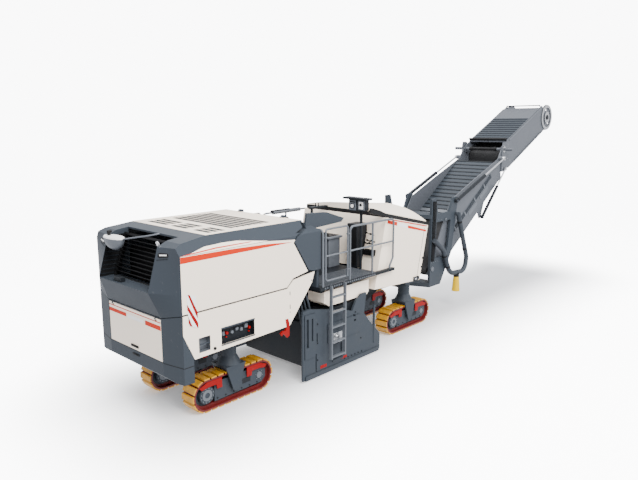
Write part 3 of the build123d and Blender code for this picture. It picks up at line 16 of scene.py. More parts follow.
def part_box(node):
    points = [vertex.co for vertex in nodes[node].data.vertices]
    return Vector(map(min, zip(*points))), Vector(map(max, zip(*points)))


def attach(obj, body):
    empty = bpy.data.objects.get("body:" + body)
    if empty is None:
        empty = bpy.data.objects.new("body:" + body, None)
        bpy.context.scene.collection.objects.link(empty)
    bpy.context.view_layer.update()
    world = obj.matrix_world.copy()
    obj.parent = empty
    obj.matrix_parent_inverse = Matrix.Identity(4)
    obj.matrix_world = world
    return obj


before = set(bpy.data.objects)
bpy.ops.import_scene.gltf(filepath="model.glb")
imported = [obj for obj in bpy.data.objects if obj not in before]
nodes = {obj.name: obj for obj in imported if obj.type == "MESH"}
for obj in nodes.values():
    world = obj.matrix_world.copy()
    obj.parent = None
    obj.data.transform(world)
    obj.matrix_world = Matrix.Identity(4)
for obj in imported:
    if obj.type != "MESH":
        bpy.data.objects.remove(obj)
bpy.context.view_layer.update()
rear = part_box("hood_shell")[0].x


def station(distance):
    """X of a place so many metres ahead of the machine's rear edge."""
    return rear + distance


# %% [markdown]
# ## The camera
#
# The viewer stands behind the machine's right rear corner, a little above the
# hood, and looks ahead and slightly down. A lens of 34 mm on a 36 mm wide sensor
# gives the gentle perspective of a brochure picture. The three unit vectors below
# are the camera's right, up and forward, worked out from its yaw and pitch.

# %% Camera
yaw, pitch = radians(42.72), radians(10.61)
forward = Vector((cos(pitch) * cos(yaw), cos(pitch) * sin(yaw), -sin(pitch)))
right = Vector((sin(yaw), -cos(yaw), 0))
up = right.cross(forward)
camera_data = bpy.data.cameras.new("camera")
camera_data.lens = 33.89
camera_data.sensor_width = 36
camera_data.clip_end = 200
viewer = (rear - 4.70, -8.62, 4.75)
camera = bpy.data.objects.new("camera", camera_data)
turn = Matrix((right, up, -forward)).transposed().to_4x4()
camera.matrix_world = Matrix.Translation(viewer) @ turn
bpy.context.scene.collection.objects.link(camera)
bpy.context.scene.camera = camera
print("camera at", [round(v, 2) for v in camera.location])

# %% [markdown]
# ## Studio: floor and light
#
# A brochure machine stands on a pale floor with no horizon. A round floor that
# bends up into a wall does that from every side, and soft light comes from a
# bright sky colour with three big lamps. The key lamp is high behind the viewer,
# so the shadow falls ahead and under the machine; the others lift the rear and
# the far side. The floor itself doesn't light the machine, which would flatten it.

# %% Floor


def mesh_object(name, build):
    """A new mesh object whose shape is made by build(bm) in a fresh bmesh."""
    bm = bmesh.new()
    build(bm)
    bmesh.ops.recalc_face_normals(bm, faces=bm.faces)
    mesh = bpy.data.meshes.new(name)
    bm.to_mesh(mesh)
    bm.free()
    thing = bpy.data.objects.new(name, mesh)
    bpy.context.scene.collection.objects.link(thing)
    return thing


floor_reach = 34
wall_turn = 12
wall_top = 30
floor_drop = 0.001
spoke_count = 72


def wall_profile():
    """Distance and height: out along the floor, round a wide bend and up the wall."""
    bend_start = floor_reach - wall_turn
    points = [(8.0, 0.0), (16.0, 0.0), (bend_start, 0.0)]
    for n in range(1, 13):
        turn = radians(90 * n / 12)
        points.append((bend_start + wall_turn * sin(turn), wall_turn * (1 - cos(turn))))
    return points + [(floor_reach, wall_top)]


def floor_shape(bm):
    """A round floor, and a wall that rises from it all round."""
    profile = wall_profile()
    middle = bm.verts.new((0, 0, -floor_drop))
    spokes = []
    for n in range(spoke_count):
        turn = radians(360 / spoke_count * n)
        points = [(cos(turn) * reach, sin(turn) * reach, height - floor_drop) for reach, height in profile]
        spokes.append([bm.verts.new(point) for point in points])
    for spoke, other in zip(spokes, spokes[1:] + spokes[:1]):
        bm.faces.new((middle, spoke[0], other[0]))
        for k in range(len(spoke) - 1):
            bm.faces.new((spoke[k], spoke[k + 1], other[k + 1], other[k]))


floor = mesh_object("floor", floor_shape)
floor.data.shade_smooth()
floor.visible_diffuse = False
floor.visible_glossy = False
print("the wall stands", floor_reach, "m from the middle")

# %% Lamps


def lamp(name, place, target, size, power):
    """A round soft lamp at a place, turned to its target: size in metres, power in watts."""
    data = bpy.data.lights.new(name, "AREA")
    data.shape = "DISK"
    data.size = size
    data.energy = power
    thing = bpy.data.objects.new(name, data)
    aim = Vector(target) - Vector(place)
    thing.matrix_world = Matrix.Translation(place) @ aim.to_track_quat("-Z", "Y").to_matrix().to_4x4()
    bpy.context.scene.collection.objects.link(thing)


# name, place, target, size, power
lamp_table = (
    ("key", (-9, -13, 15), (-1, 0, 1.5), 9, 5600),
    ("fill", (6, -16, 9), (1, 0, 1.5), 10, 2000),
    ("top", (0, 4, 16), (0, 0, 1), 14, 2600),
)
for row in lamp_table:
    lamp(*row)
world = bpy.data.worlds.new("studio")
bpy.context.scene.world = world
world.use_nodes = True
sky = world.node_tree.nodes["Background"]
sky.inputs["Color"].default_value = (0.93, 0.95, 1.0, 1)
sky.inputs["Strength"].default_value = 1.6

# %% [markdown]
# ## Shader maths written as maths
#
# A finish is easier to read when its maths looks like maths. `Wire` wraps one
# socket of a shader and answers to +, -, *, > and abs, so `1 - dust * 0.5` adds
# the Math nodes by itself. `Finish` starts a material and makes any other node in
# one line: its type, its settings, then what goes into its sockets.

# %% Wires


class Wire:
    """One output socket that can be used in sums like a number."""

    def __init__(self, finish, socket):
        self.finish = finish
        self.socket = socket

    def maths(self, operation, *values):
        return self.finish.node("ShaderNodeMath", {"operation": operation}, dict(enumerate(values)))

    def __add__(self, other):
        return self.maths("ADD", self, other)

    def __sub__(self, other):
        return self.maths("SUBTRACT", self, other)

    def __mul__(self, other):
        return self.maths("MULTIPLY", self, other)

    def __radd__(self, other):
        return self.maths("ADD", other, self)

    def __rsub__(self, other):
        return self.maths("SUBTRACT", other, self)

    def __rmul__(self, other):
        return self.maths("MULTIPLY", other, self)

    def __abs__(self):
        return self.maths("ABSOLUTE", self)

    def __gt__(self, other):
        return self.maths("GREATER_THAN", self, other)

    def band(self, low, high):
        """0 below low, 1 above high and a straight slope between."""
        settings = {"interpolation_type": "LINEAR", "clamp": True}
        sockets = {"Value": self, "From Min": low, "From Max": high}
        return self.finish.node("ShaderNodeMapRange", settings, sockets)


print("a wire can be added to, taken from, multiplied and compared")

# %% Finish


class Finish:
    """A material being made: one Principled shader and what feeds it."""

    def __init__(self, name):
        self.material = bpy.data.materials.new(name)
        self.material.use_nodes = True
        self.tree = self.material.node_tree
        self.shader = self.tree.nodes["Principled BSDF"]

    def node(self, kind, settings=None, sockets=None, out=0):
        """Adds a node: its settings first, then a value or a wire for each named socket."""
        node = self.tree.nodes.new(kind)
        for key, value in (settings or {}).items():
            setattr(node, key, value)
        for key, value in (sockets or {}).items():
            self.feed(node.inputs[key], value)
        return Wire(self, node.outputs[out])

    def feed(self, socket, value):
        """Links a wire to a socket, or sets the socket to a number or a colour."""
        if isinstance(value, Wire):
            self.tree.links.new(value.socket, socket)
        elif isinstance(value, tuple) and len(value) == 3 and socket.type == "RGBA":
            socket.default_value = (*value, 1)
        else:
            socket.default_value = value

    def set(self, **values):
        """Feeds the shader: Base_Color=..., Roughness=... and so on."""
        for key, value in values.items():
            self.feed(self.shader.inputs[key.replace("_", " ")], value)
        return self.material

    def place(self):
        """Where the point is on the machine, in metres, as three wires."""
        spot = self.node("ShaderNodeTexCoord", out="Object")
        parts = self.node("ShaderNodeSeparateXYZ", sockets={0: spot}).socket.node
        return [Wire(self, socket) for socket in parts.outputs]

    def noise(self, scale, detail=4.0, stretch=None, roughness=0.55):
        """Soft random patches about 1/scale metres across."""
        spot = self.node("ShaderNodeTexCoord", out="Object")
        if stretch:
            settings = {"operation": "MULTIPLY"}
            spot = self.node("ShaderNodeVectorMath", settings, {0: spot, 1: stretch})
        sockets = {"Vector": spot, "Scale": scale, "Detail": detail, "Roughness": roughness}
        return self.node("ShaderNodeTexNoise", None, sockets, "Fac")

    def mix(self, amount, first, second):
        """Blends two colours."""
        settings = {"data_type": "RGBA", "blend_type": "MIX"}
        return self.node("ShaderNodeMix", settings, {0: amount, 6: first, 7: second}, 2)

    def bump(self, height, strength, distance):
        """Leans the surface by a height in noise units, worth a distance in metres."""
        sockets = {"Height": height, "Strength": strength, "Distance": distance}
        return self.node("ShaderNodeBump", None, sockets)


probe = Finish("probe")
print("a sum of wires makes a", (1 - probe.noise(2.0) * 0.5).socket.node.bl_idname)
bpy.data.materials.remove(probe.material)

# %% [markdown]
# ## Floor paper
#
# The paper glows like a light table, so that it stays white in the picture, and
# the glow fades out close to the machine, where the real shadows must show. The
# fade also paints a soft shade round the machine, and there the paper's own
# colour is painted darker as well: both are painted shade.

# %% Floor paper
shade_length, shade_width, shade_fade = 6.6, 0.6, 3.4
paper = Finish("studio_paper")
x, y, z = paper.place()
ahead = abs(x) - shade_length
aside = abs(y) - shade_width
ahead = ahead.maths("MAXIMUM", ahead, 0.0)
aside = aside.maths("MAXIMUM", aside, 0.0)
squares = ahead * ahead + aside * aside
# Painted shade: this mask is 0 close to the machine and 1 from shade_fade away.
glow_and_painted_shade = squares.maths("SQRT", squares).band(0.0, shade_fade)
glow_and_painted_shade = glow_and_painted_shade * glow_and_painted_shade * (3 - 2 * glow_and_painted_shade)
# Painted shade: the paper's colour is 0.60 close to the machine and 0.92 away from it.
paper.set(Base_Color=paper.mix(glow_and_painted_shade, (0.60, 0.60, 0.61), (0.92, 0.92, 0.92)), Roughness=0.9)
paper.set(Emission_Strength=8.0)
# Painted shade: the glow dims to almost nothing close to the machine.
paper.set(Emission_Color=paper.mix(glow_and_painted_shade, (0.03, 0.03, 0.03), (1.0, 1.0, 1.0)))
floor.data.materials.append(paper.material)
print("the paper glows in full", shade_fade, "m away from the machine")

# %% [markdown]
# ## Paint
#
# Most of the machine is painted sheet: cream panels, slate blue-grey structure,
# a darker grey for rails and frames, black behind the intake and red on the track
# guards. New paint still isn't one flat colour. It has a faint orange peel, soft
# patches where the coat is thicker, dust that gathers low down, and small scuffs.
# One recipe serves every colour, so only the numbers change.

# %% Paint recipe
primer = (0.16, 0.155, 0.15)
road_dust = (0.035, 0.030, 0.022)
dust_low, dust_high = 0.1, 1.6


def paint(name, colour, roughness, patches, dust, scuffs, peel, gloss, metallic=0.0):
    """Sprayed paint with patches, low dust, scuffs down to primer and orange peel."""
    finish = Finish(name)
    x, y, z = finish.place()
    shaded = tuple(0.80 * c for c in colour)
    colour_wire = finish.mix(finish.noise(0.9) * patches * 2, colour, shaded)
    low = 1 - z.band(dust_low, dust_high)
    grime = (finish.noise(3.0, 8.0) - 0.42).band(0.0, 0.35) * low * dust * 2
    soil = tuple(0.7 * c + d for c, d in zip(colour, road_dust))
    colour_wire = finish.mix(grime, colour_wire, soil)
    streak = finish.noise(6.0, 6.0, (4.0, 4.0, 0.35))
    colour_wire = finish.mix((streak - 0.60).band(0.0, 0.2) * 0.10, colour_wire, soil)
    if scuffs:
        worn = (finish.noise(14.0, 10.0) - 0.66).band(0.0, 0.03) * scuffs
        colour_wire = finish.mix(worn, colour_wire, primer)
    rough_wire = finish.noise(2.2, 5.0) * 0.14 + (roughness - 0.07) + grime * 0.25
    normal = finish.bump(finish.noise(95.0, 2.0), peel, 0.004)
    finish.set(Base_Color=colour_wire, Roughness=rough_wire, Metallic=metallic, Normal=normal)
    finish.set(Specular_IOR_Level=gloss)
    return finish.material


print("dust gathers below", dust_high, "m")

# %% Paints
# name, colour, roughness, patches, dust, scuffs, peel, gloss, metallic
cream = paint("cream_paint", (0.92, 0.80, 0.655), 0.36, 0.05, 0.15, 0.0, 0.04, 0.4)
slate = paint("slate_paint", (0.032, 0.039, 0.048), 0.46, 0.10, 0.12, 0.10, 0.05, 0.15)
dark = paint("dark_paint", (0.010, 0.012, 0.015), 0.50, 0.15, 0.15, 0.10, 0.06, 0.15)
black = paint("black_paint", (0.004, 0.004, 0.0045), 0.55, 0.20, 0.20, 0.0, 0.05, 0.2)
steel_grey = paint("conveyor_paint", (0.085, 0.092, 0.105), 0.42, 0.12, 0.12, 0.15, 0.05, 0.25, 0.1)
rail_grey = paint("rail_paint", (0.11, 0.12, 0.135), 0.40, 0.10, 0.10, 0.10, 0.04, 0.3, 0.2)
red = paint("red_paint", (0.23, 0.0015, 0.002), 0.42, 0.10, 0.12, 0.15, 0.05, 0.12)
orange = paint("orange_stripe", (0.50, 0.020, 0.0003), 0.42, 0.04, 0.05, 0.0, 0.03, 0.12)
white = paint("white_stripe", (0.86, 0.85, 0.82), 0.36, 0.04, 0.15, 0.0, 0.03, 0.4)
print("paints:", [m.name for m in bpy.data.materials if "paint" in m.name or "stripe" in m.name])

# %% [markdown]
# ## Metal, rubber and track pads
#
# Bare metal shows where things rub: the drum and its picks, rods, rungs. Rubber
# is the belts and the dust sleeve. The track pads are yellow polyurethane on a
# red chain, and since pad and chain are one solid, the paint is chosen by how far
# a point lies from the middle line of the track's loop.

# %% Metals and rubbers
rust_colour = (0.16, 0.075, 0.035)


def metal(name, colour, roughness, rust=0.0, brush=None):
    """Bare metal, brushed along one axis, with rust in patches."""
    finish = Finish(name)
    grain = finish.noise(30.0, 6.0, brush) if brush else finish.noise(12.0, 8.0)
    tone = finish.mix(grain * 0.5, colour, tuple(0.72 * c for c in colour))
    rusty = (finish.noise(5.0, 9.0) - 0.5).band(0.0, 0.12) * rust
    tone = finish.mix(rusty, tone, rust_colour)
    rough = grain * 0.2 + (roughness - 0.1) + rusty * 0.3
    normal = finish.bump(grain, 0.15, 0.003)
    return finish.set(Base_Color=tone, Roughness=rough, Metallic=1 - rusty, Normal=normal)


def rubber(name, colour, roughness=0.75, texture=60.0, dust=0.35):
    """Matt rubber or polyurethane with a fine grain and a little dust."""
    finish = Finish(name)
    dusty = finish.noise(4.0, 7.0).band(0.45, 0.75) * dust
    tone = finish.mix(dusty, colour, tuple(0.7 * c + 0.03 for c in colour))
    rough = finish.noise(9.0, 4.0) * 0.2 + (roughness - 0.1)
    normal = finish.bump(finish.noise(texture, 3.0), 0.2, 0.004)
    return finish.set(Base_Color=tone, Roughness=rough, Normal=normal, Specular_IOR_Level=0.2)


bright_steel = metal("bright_steel", (0.56, 0.57, 0.58), 0.32, 0.05, (1.0, 1.0, 9.0))
chrome = metal("rod_chrome", (0.70, 0.70, 0.71), 0.16, 0.0)
worn_steel = metal("worn_steel", (0.30, 0.28, 0.26), 0.48, 0.45)
belt_rubber = rubber("belt_rubber", (0.018, 0.018, 0.019), 0.7)
sleeve_rubber = rubber("sleeve_rubber", (0.60, 0.37, 0.0005), 0.5, 60.0, 0.1)
hose_rubber = rubber("hose_rubber", (0.030, 0.036, 0.044), 0.55)
print("metals and rubbers are mixed")

# %% Track pads
track_low, track_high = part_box("track_belt_rear_right")
loop_half = (track_high.x - track_low.x) / 2 - (track_high.z - track_low.z) / 2
loop_middle = (track_high.z + track_low.z) / 2
chain_edge, pad_face = 0.278, 0.292
road_dirt = (0.10, 0.06, 0.025)


def track_finish(name, centre_x):
    """Yellow pads outside, red chain inside, dirt where the pads meet the ground."""
    finish = Finish(name)
    x, y, z = finish.place()
    beyond = abs(x - centre_x) - loop_half
    along = beyond.maths("MAXIMUM", beyond, 0.0)
    rise = z - loop_middle
    squares = along * along + rise * rise
    distance = squares.maths("SQRT", squares)
    pad = distance > chain_edge
    yellow = finish.mix(finish.noise(7.0, 6.0) * 0.6, (0.55, 0.27, 0.001), (0.40, 0.15, 0.001))
    chain = finish.mix(finish.noise(9.0, 6.0) * 0.7, (0.13, 0.002, 0.002), (0.05, 0.005, 0.004))
    tone = finish.mix(pad, chain, yellow)
    dirt = (finish.noise(11.0, 9.0) - 0.45).band(0.0, 0.3) * (distance > pad_face) * 0.55
    tone = finish.mix(dirt, tone, road_dirt)
    rough = finish.noise(8.0, 5.0) * 0.25 + 0.38 + dirt * 0.2
    normal = finish.bump(finish.noise(45.0, 4.0), 0.25, 0.004)
    return finish.set(Base_Color=tone, Roughness=rough, Normal=normal)


print("track loop: half length", round(loop_half, 3), "m, middle at z", round(loop_middle, 3))

# %% [markdown]
# ## Which finish goes where
#
# The solids keep their shapes; a finish is put in each solid's material slot. The
# table reads like a painter's list, and anything it forgets is caught at the end.

# %% Painter's list
painter = {
    cream: "rear_flap lower_panel_right lower_panel_left platform_boxes front_housing front_cover",
    slate: "rear_bumper rear_panel hood_shell bulkhead side_plate_right side_plate_left slew_frame "
    "lower_conveyor_cover column_sleeves",
    dark: "engine_block centre_cover platform_floor operator_console drum_housing scraper belly_conveyor "
    "head_drum lift_barrels fold_barrels main_frame frame_crossbars lashing_eyes",
    rail_grey: "guard_rails gate_right gate_left ladders",
    black: "cooler intake_grille cover_skirt",
    steel_grey: "lower_conveyor_frame upper_conveyor_frame",
    chrome: "lift_rods fold_rods",
    worn_steel: "milling_drum",
    belt_rubber: "lower_conveyor_belt upper_conveyor_belt",
    sleeve_rubber: "duct_sleeve",
    hose_rubber: "dust_duct",
}
for end in ("rear", "front"):
    for side in ("right", "left"):
        leg = f"{end}_{side}"
        low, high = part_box(f"track_belt_{leg}")
        painter[track_finish(f"track_{leg}", (low.x + high.x) / 2)] = f"track_belt_{leg}"
        painter[slate] += f" leg_{leg} track_frame_{leg}"
        painter[red] = painter.get(red, "") + f" track_guard_{leg}"
for material, names in painter.items():
    for name in names.split():
        slots = nodes[name].data.materials
        slots.clear()
        slots.append(material)
missed = sorted(set(nodes) - {name for names in painter.values() for name in names.split()})
print("painted", len(nodes) - len(missed), "solids; missed:", missed)

# %% [markdown]
# ## Tools for plates, boxes and pipes
#
# The hood is one slate solid. Its cream panels, orange bands and marker boards
# are thin plates laid on it, as a sign maker would lay film on sheet. `plates`
# takes outlines of points and an outward direction, and `on_side` gives such
# points for either side of the machine from distances along it and heights.
# Everything with more body than a plate is built from boxes and round bars in a
# bmesh, and pipes are curves with a round bevel, which bend by themselves.

# %% Plates on a wall
side_y = 1.25
# the shoulder starts at shoulder_z and leans in by so much over so much height
shoulder_z, shoulder_in, shoulder_rise = 2.87, 0.17, 0.23
# how far a plate stands off the solid, and off a plate that is already there
first_coat, second_coat = 0.0005, 0.0036
sides = (("right", -1), ("left", 1))


def on_side(side, outline, y=side_y):
    """Points on a side wall: side is -1 for right and 1 for left."""
    return [(station(x), side * y, z) for x, z in outline]


def on_shoulder(side, outline):
    """Points on the sloping shoulder between the side wall and the roof."""
    reaches = [side_y - (z - shoulder_z) * shoulder_in / shoulder_rise for x, z in outline]
    return [(station(x), side * y, z) for (x, z), y in zip(outline, reaches)]


def plates(name, outlines, out, lift, thick, material, body):
    """Flat plates on outlines of points, lifted along the direction out, all one piece."""
    out = Vector(out).normalized()

    def build(bm):
        for outline in outlines:
            low = [bm.verts.new(Vector(point) + out * lift) for point in outline]
            high = [bm.verts.new(Vector(point) + out * (lift + thick)) for point in outline]
            bm.faces.new(low)
            bm.faces.new(high)
            for n in range(len(outline)):
                m = (n + 1) % len(outline)
                bm.faces.new((low[n], low[m], high[m], high[n]))

    thing = mesh_object(name, build)
    thing.data.materials.append(material)
    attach(thing, body)


# %% Boxes and round bars


def block(bm, low, high):
    """A box between two corners, added to a mesh being built."""
    low, high = Vector(low), Vector(high)
    size = high - low
    place = Matrix.Translation((low + high) / 2) @ Matrix.Diagonal((*size, 1))
    bmesh.ops.create_cube(bm, size=1, matrix=place)


def drum(bm, start, end, radius, segments=24, end_radius=None):
    """A round bar or cone from start to end, added to a mesh being built."""
    start, end = Vector(start), Vector(end)
    along = end - start
    end_radius = radius if end_radius is None else end_radius
    size = {"segments": segments, "radius1": radius, "radius2": end_radius, "depth": along.length}
    place = Matrix.Translation((start + end) / 2) @ along.to_track_quat("Z", "Y").to_matrix().to_4x4()
    bmesh.ops.create_cone(bm, cap_ends=True, matrix=place, **size)


def built(name, build, material, body, bevel=0.0, smooth=True):
    """A piece from a build function, with its finish, its body and rounded edges."""
    thing = mesh_object(name, build)
    thing.data.materials.append(material)
    if smooth:
        thing.data.shade_smooth()
        thing.data.set_sharp_from_angle(angle=radians(40))
    if bevel:
        modifier = thing.modifiers.new("bevel", "BEVEL")
        modifier.width = bevel
        modifier.segments = 2
        modifier.limit_method = "ANGLE"
    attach(thing, body)


print("helpers for solid pieces:", [helper.__name__ for helper in (block, drum, built)])

# %% Pipes


def pipe(name, points, radius, material, body, bend=True):
    """A round pipe along points, with soft bends."""
    data = bpy.data.curves.new(name, "CURVE")
    data.dimensions = "3D"
    data.bevel_depth = radius
    data.bevel_resolution = 4
    data.use_fill_caps = True
    spline = data.splines.new("NURBS" if bend else "POLY")
    spline.points.add(len(points) - 1)
    for slot, point in zip(spline.points, points):
        slot.co = (*point, 1)
    if bend:
        spline.order_u = 3
        spline.use_endpoint_u = True
    thing = bpy.data.objects.new(name, data)
    bpy.context.scene.collection.objects.link(thing)
    data.materials.append(material)
    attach(thing, body)


print("a pipe is a curve, and it bends softly unless bend is False")

# %% [markdown]
# ## Panels and bands on the hood
#
# The real hood is one shell in two colours, crossed by reflecting orange lines.
# The colours could be masks in the hood's own paint, but a mask's edge turns
# ragged close up. Thin plates keep crisp edges, and the sliver of thickness that
# they have catches the light as film and panel gaps do.

# %% Cream panels and orange bands on the hood
hood_panel = (
    (0.262, 1.966),
    (2.446, 1.966),
    (2.598, 2.104),
    (2.985, 2.172),
    (2.618, 2.752),
    (2.66, 2.806),
    (2.01, 2.868),
    (0.262, 2.868),
)
hood_lens = ((0.262, 2.873), (0.46, 2.89), (0.74, 2.95), (1.1, 2.962), (1.39, 2.955), (2.01, 2.874))
band = ((0.262, 2.765), (1.4, 2.768), (2.61, 2.772), (2.0, 2.822), (1.2, 2.85), (0.262, 2.862))
thin_band = ((0.262, 2.874), (0.45, 2.876), (0.94, 2.896), (1.62, 2.899))
thin_band += ((1.70, 2.909), (0.94, 2.914), (0.42, 2.888))
for side_name, side in sides:
    out = (0, side, 0)
    slope = (0, side * shoulder_rise, shoulder_in)
    lens, line = on_shoulder(side, hood_lens), on_shoulder(side, thin_band)
    plates(f"hood_panel_{side_name}", [on_side(side, hood_panel)], out, first_coat, 0.003, cream, "hood")
    plates(f"hood_lens_{side_name}", [lens], slope, first_coat, 0.003, cream, "hood")
    plates(f"hood_band_{side_name}", [on_side(side, band)], out, second_coat, 0.0015, orange, "hood")
    plates(f"hood_thin_band_{side_name}", [line], slope, second_coat, 0.0015, orange, "hood")
print("hood panels run from", hood_panel[0][0], "to", hood_panel[3][0], "m")

# %% Seam under the hood panels
seam_wide = 0.012
seam_line = hood_panel[:4]
for side_name, side in sides:
    seams = []
    for (x0, z0), (x1, z1) in zip(seam_line, seam_line[1:]):
        seams.append(on_side(side, ((x0, z0), (x1, z1), (x1, z1 + seam_wide), (x0, z0 + seam_wide))))
    plates(f"hood_seam_{side_name}", seams, (0, side, 0), second_coat, 0.001, black, "hood")
print("the seam has", len(seam_line) - 1, "straight runs")

# %% [markdown]
# ## Roof sheet and its slots
#
# The engine's hot air leaves through slots in the roof. A Boolean could cut them
# through the hood, but nothing shows beneath them from above. Black plates on a
# cream sheet are painted shade for the dark inside of the slots, and leave the hood's own mesh clean.

# %% Roof sheet
roof_y = 1.075
roof_z = 3.1


def on_roof(x0, x1, y0, y1):
    """A rectangle on the flat roof."""
    corners = ((x0, y0), (x1, y0), (x1, y1), (x0, y1))
    return [(station(x), y, roof_z) for x, y in corners]


up_out = (0, 0, 1)
slot_pitch = 0.13
slots = []
for n in range(3):
    x = 1.06 + slot_pitch * n
    slots += [on_roof(x - 0.046, x + 0.046, a, b) for a, b in ((0.25, 0.83), (-0.33, 0.10), (-0.94, -0.54))]
for n in range(7):
    x = 1.60 + slot_pitch * n
    slots.append(on_roof(x - 0.048, x + 0.048, -0.85, 0.85))
plates("roof_sheet", [on_roof(0.86, 2.99, -roof_y, roof_y)], up_out, first_coat, 0.003, cream, "hood")
# Painted shade: black plates for the dark insides of the slots.
plates("roof_slots", slots, up_out, second_coat, 0.0015, black, "hood")
print(len(slots), "slots in the roof")

# %% [markdown]
# ## Marker boards
#
# Slow machines carry white boards with red diagonals at their corners, so that
# traffic sees how wide they are. A picture wrapped on the board would do, but
# three short outlines are simpler, need no unwrapping and stay sharp up close.

# %% Reflecting marker boards with red diagonals
board = ((0.34, 2.29), (0.51, 2.23), (0.54, 1.71), (0.37, 1.79))
diagonals = (
    ((0.36, 2.283), (0.40, 2.268), (0.532, 1.975), (0.532, 1.87), (0.50, 1.93)),
    ((0.347, 2.13), (0.35, 2.04), (0.52, 1.722), (0.538, 1.716), (0.536, 1.80)),
    ((0.362, 1.93), (0.366, 1.83), (0.385, 1.784), (0.43, 1.763)),
)
for side_name, side in sides:
    out = (0, side, 0)
    plates(f"marker_board_{side_name}", [on_side(side, board)], out, 0.0045, 0.004, white, "hood")
    stripes = [on_side(side, stripe) for stripe in diagonals]
    plates(f"marker_stripes_{side_name}", stripes, out, 0.0087, 0.001, red, "hood")
print("marker boards stand beside the rear corners")

# %% [markdown]
# ## The rear flap
#
# The flap is the lid of the bay behind the engine. It has the hood's orange lines,
# a blank white plate and a rubber latch. All of them ride on the flap's own body,
# so that they swing up with it.

# %% Bands and plate on the rear flap
flap_x = 0.17
face_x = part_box("rear_flap")[0].x


def on_rear(y0, y1, z0, z1):
    """A rectangle on the flap's flat face."""
    x = station(flap_x)
    return [(x, y0, z0), (x, y1, z0), (x, y1, z1), (x, y0, z1)]


rear_out = (-1, 0, 0)
flap_lines = [on_rear(-0.785, 0.785, 1.768, 1.782)]
flap_lines += [on_rear(0.24, 0.785, 1.66, 1.722), on_rear(-0.785, -0.34, 1.648, 1.722)]
plates("flap_bands", flap_lines, rear_out, first_coat, 0.002, orange, "rear_flap")
plates("flap_plate", [on_rear(-0.29, 0.19, 1.655, 1.717)], rear_out, first_coat, 0.003, white, "rear_flap")


def flap_latch(bm):
    x = station(flap_x)
    block(bm, (x - 0.016, -0.10, 1.185), (x, 0.12, 1.225))
    block(bm, (x - 0.024, -0.055, 1.192), (x - 0.014, 0.075, 1.212))


built("flap_latch", flap_latch, black, "rear_flap", 0.004)
print("flap face at x", round(face_x, 3))

# %% [markdown]
# ## Pockets in the lower panels
#
# Each lower panel has two recesses: a small one that serves as a step, and a long
# one with the hand controls. The solid has the holes already. A lining that is
# open to the outside gives them a paint of their own, with no mask to be drawn.

# %% Pockets in the lower panels
tray_depth = 0.103


def tray(x0, x1, z0, z1):
    """Gives a function that builds the lining of a pocket: a floor and four walls."""

    def shape(bm, side):
        deep, rim = side * (side_y - tray_depth), side * (side_y - 0.002)
        corners = ((x0, z0), (x1, z0), (x1, z1), (x0, z1))
        inner = [bm.verts.new((station(x), deep, z)) for x, z in corners]
        outer = [bm.verts.new((station(x), rim, z)) for x, z in corners]
        bm.faces.new(inner)
        for n in range(4):
            m = (n + 1) % 4
            bm.faces.new((inner[n], inner[m], outer[m], outer[n]))

    return shape


step_tray = tray(0.542, 0.758, 1.302, 1.538)
control_tray = tray(0.982, 1.678, 1.322, 1.578)
for side_name, side in sides:
    built(f"step_lining_{side_name}", lambda bm: step_tray(bm, side), rail_grey, "chassis", smooth=False)
    built(f"control_lining_{side_name}", lambda bm: control_tray(bm, side), dark, "chassis", smooth=False)
print("pockets are lined")

# %% [markdown]
# ## Fittings
#
# Bolts, rings, straps and lamps are too small to be solids of their own, yet they
# give the machine its scale. Each group of them is one piece that rides on the
# body it is screwed to, so it swings, slides or steers along with it.

# %% Bolts and rings


def bolts(bm, places, out, radius=0.012, height=0.010):
    """Hexagon heads standing on a face at the given places."""
    out = Vector(out).normalized()
    for place in places:
        drum(bm, Vector(place) - out * 0.002, Vector(place) + out * height, radius, 6)


def ring(bm, centre, out, inner, outer, thick, steps=40):
    """A flat washer standing on a face."""
    centre, out = Vector(centre), Vector(out).normalized()
    across = out.orthogonal().normalized()
    beside = out.cross(across)
    turns = [2 * pi * n / steps for n in range(steps)]
    rays = [across * cos(turn) + beside * sin(turn) for turn in turns]
    loops = []
    for radius, lift in ((inner, 0), (outer, 0), (outer, thick), (inner, thick)):
        loops.append([bm.verts.new(centre + out * lift + ray * radius) for ray in rays])
    for a, b in zip(loops, loops[1:] + loops[:1]):
        for n in range(steps):
            m = (n + 1) % steps
            bm.faces.new((a[n], a[m], b[m], b[n]))


def around(centre, out, radius, count):
    """Places on a circle about a centre, square to the direction out."""
    centre, out = Vector(centre), Vector(out).normalized()
    across = out.orthogonal().normalized()
    beside = out.cross(across)
    turns = [2 * pi * n / count for n in range(count)]
    return [centre + (across * cos(turn) + beside * sin(turn)) * radius for turn in turns]


print("twelve places on a circle:", len(around((0, 0, 0), (0, 1, 0), 1, 12)))

# %% [markdown]
# ## Hubs and bolts on the tracks
#
# A track frame shows its drive hub with a ring of bolts at one end, a plain cap at
# the other and a row of bolts along the flank between. One loop over the four legs
# places them from the middle of each leg's own belt, and they steer with the leg.

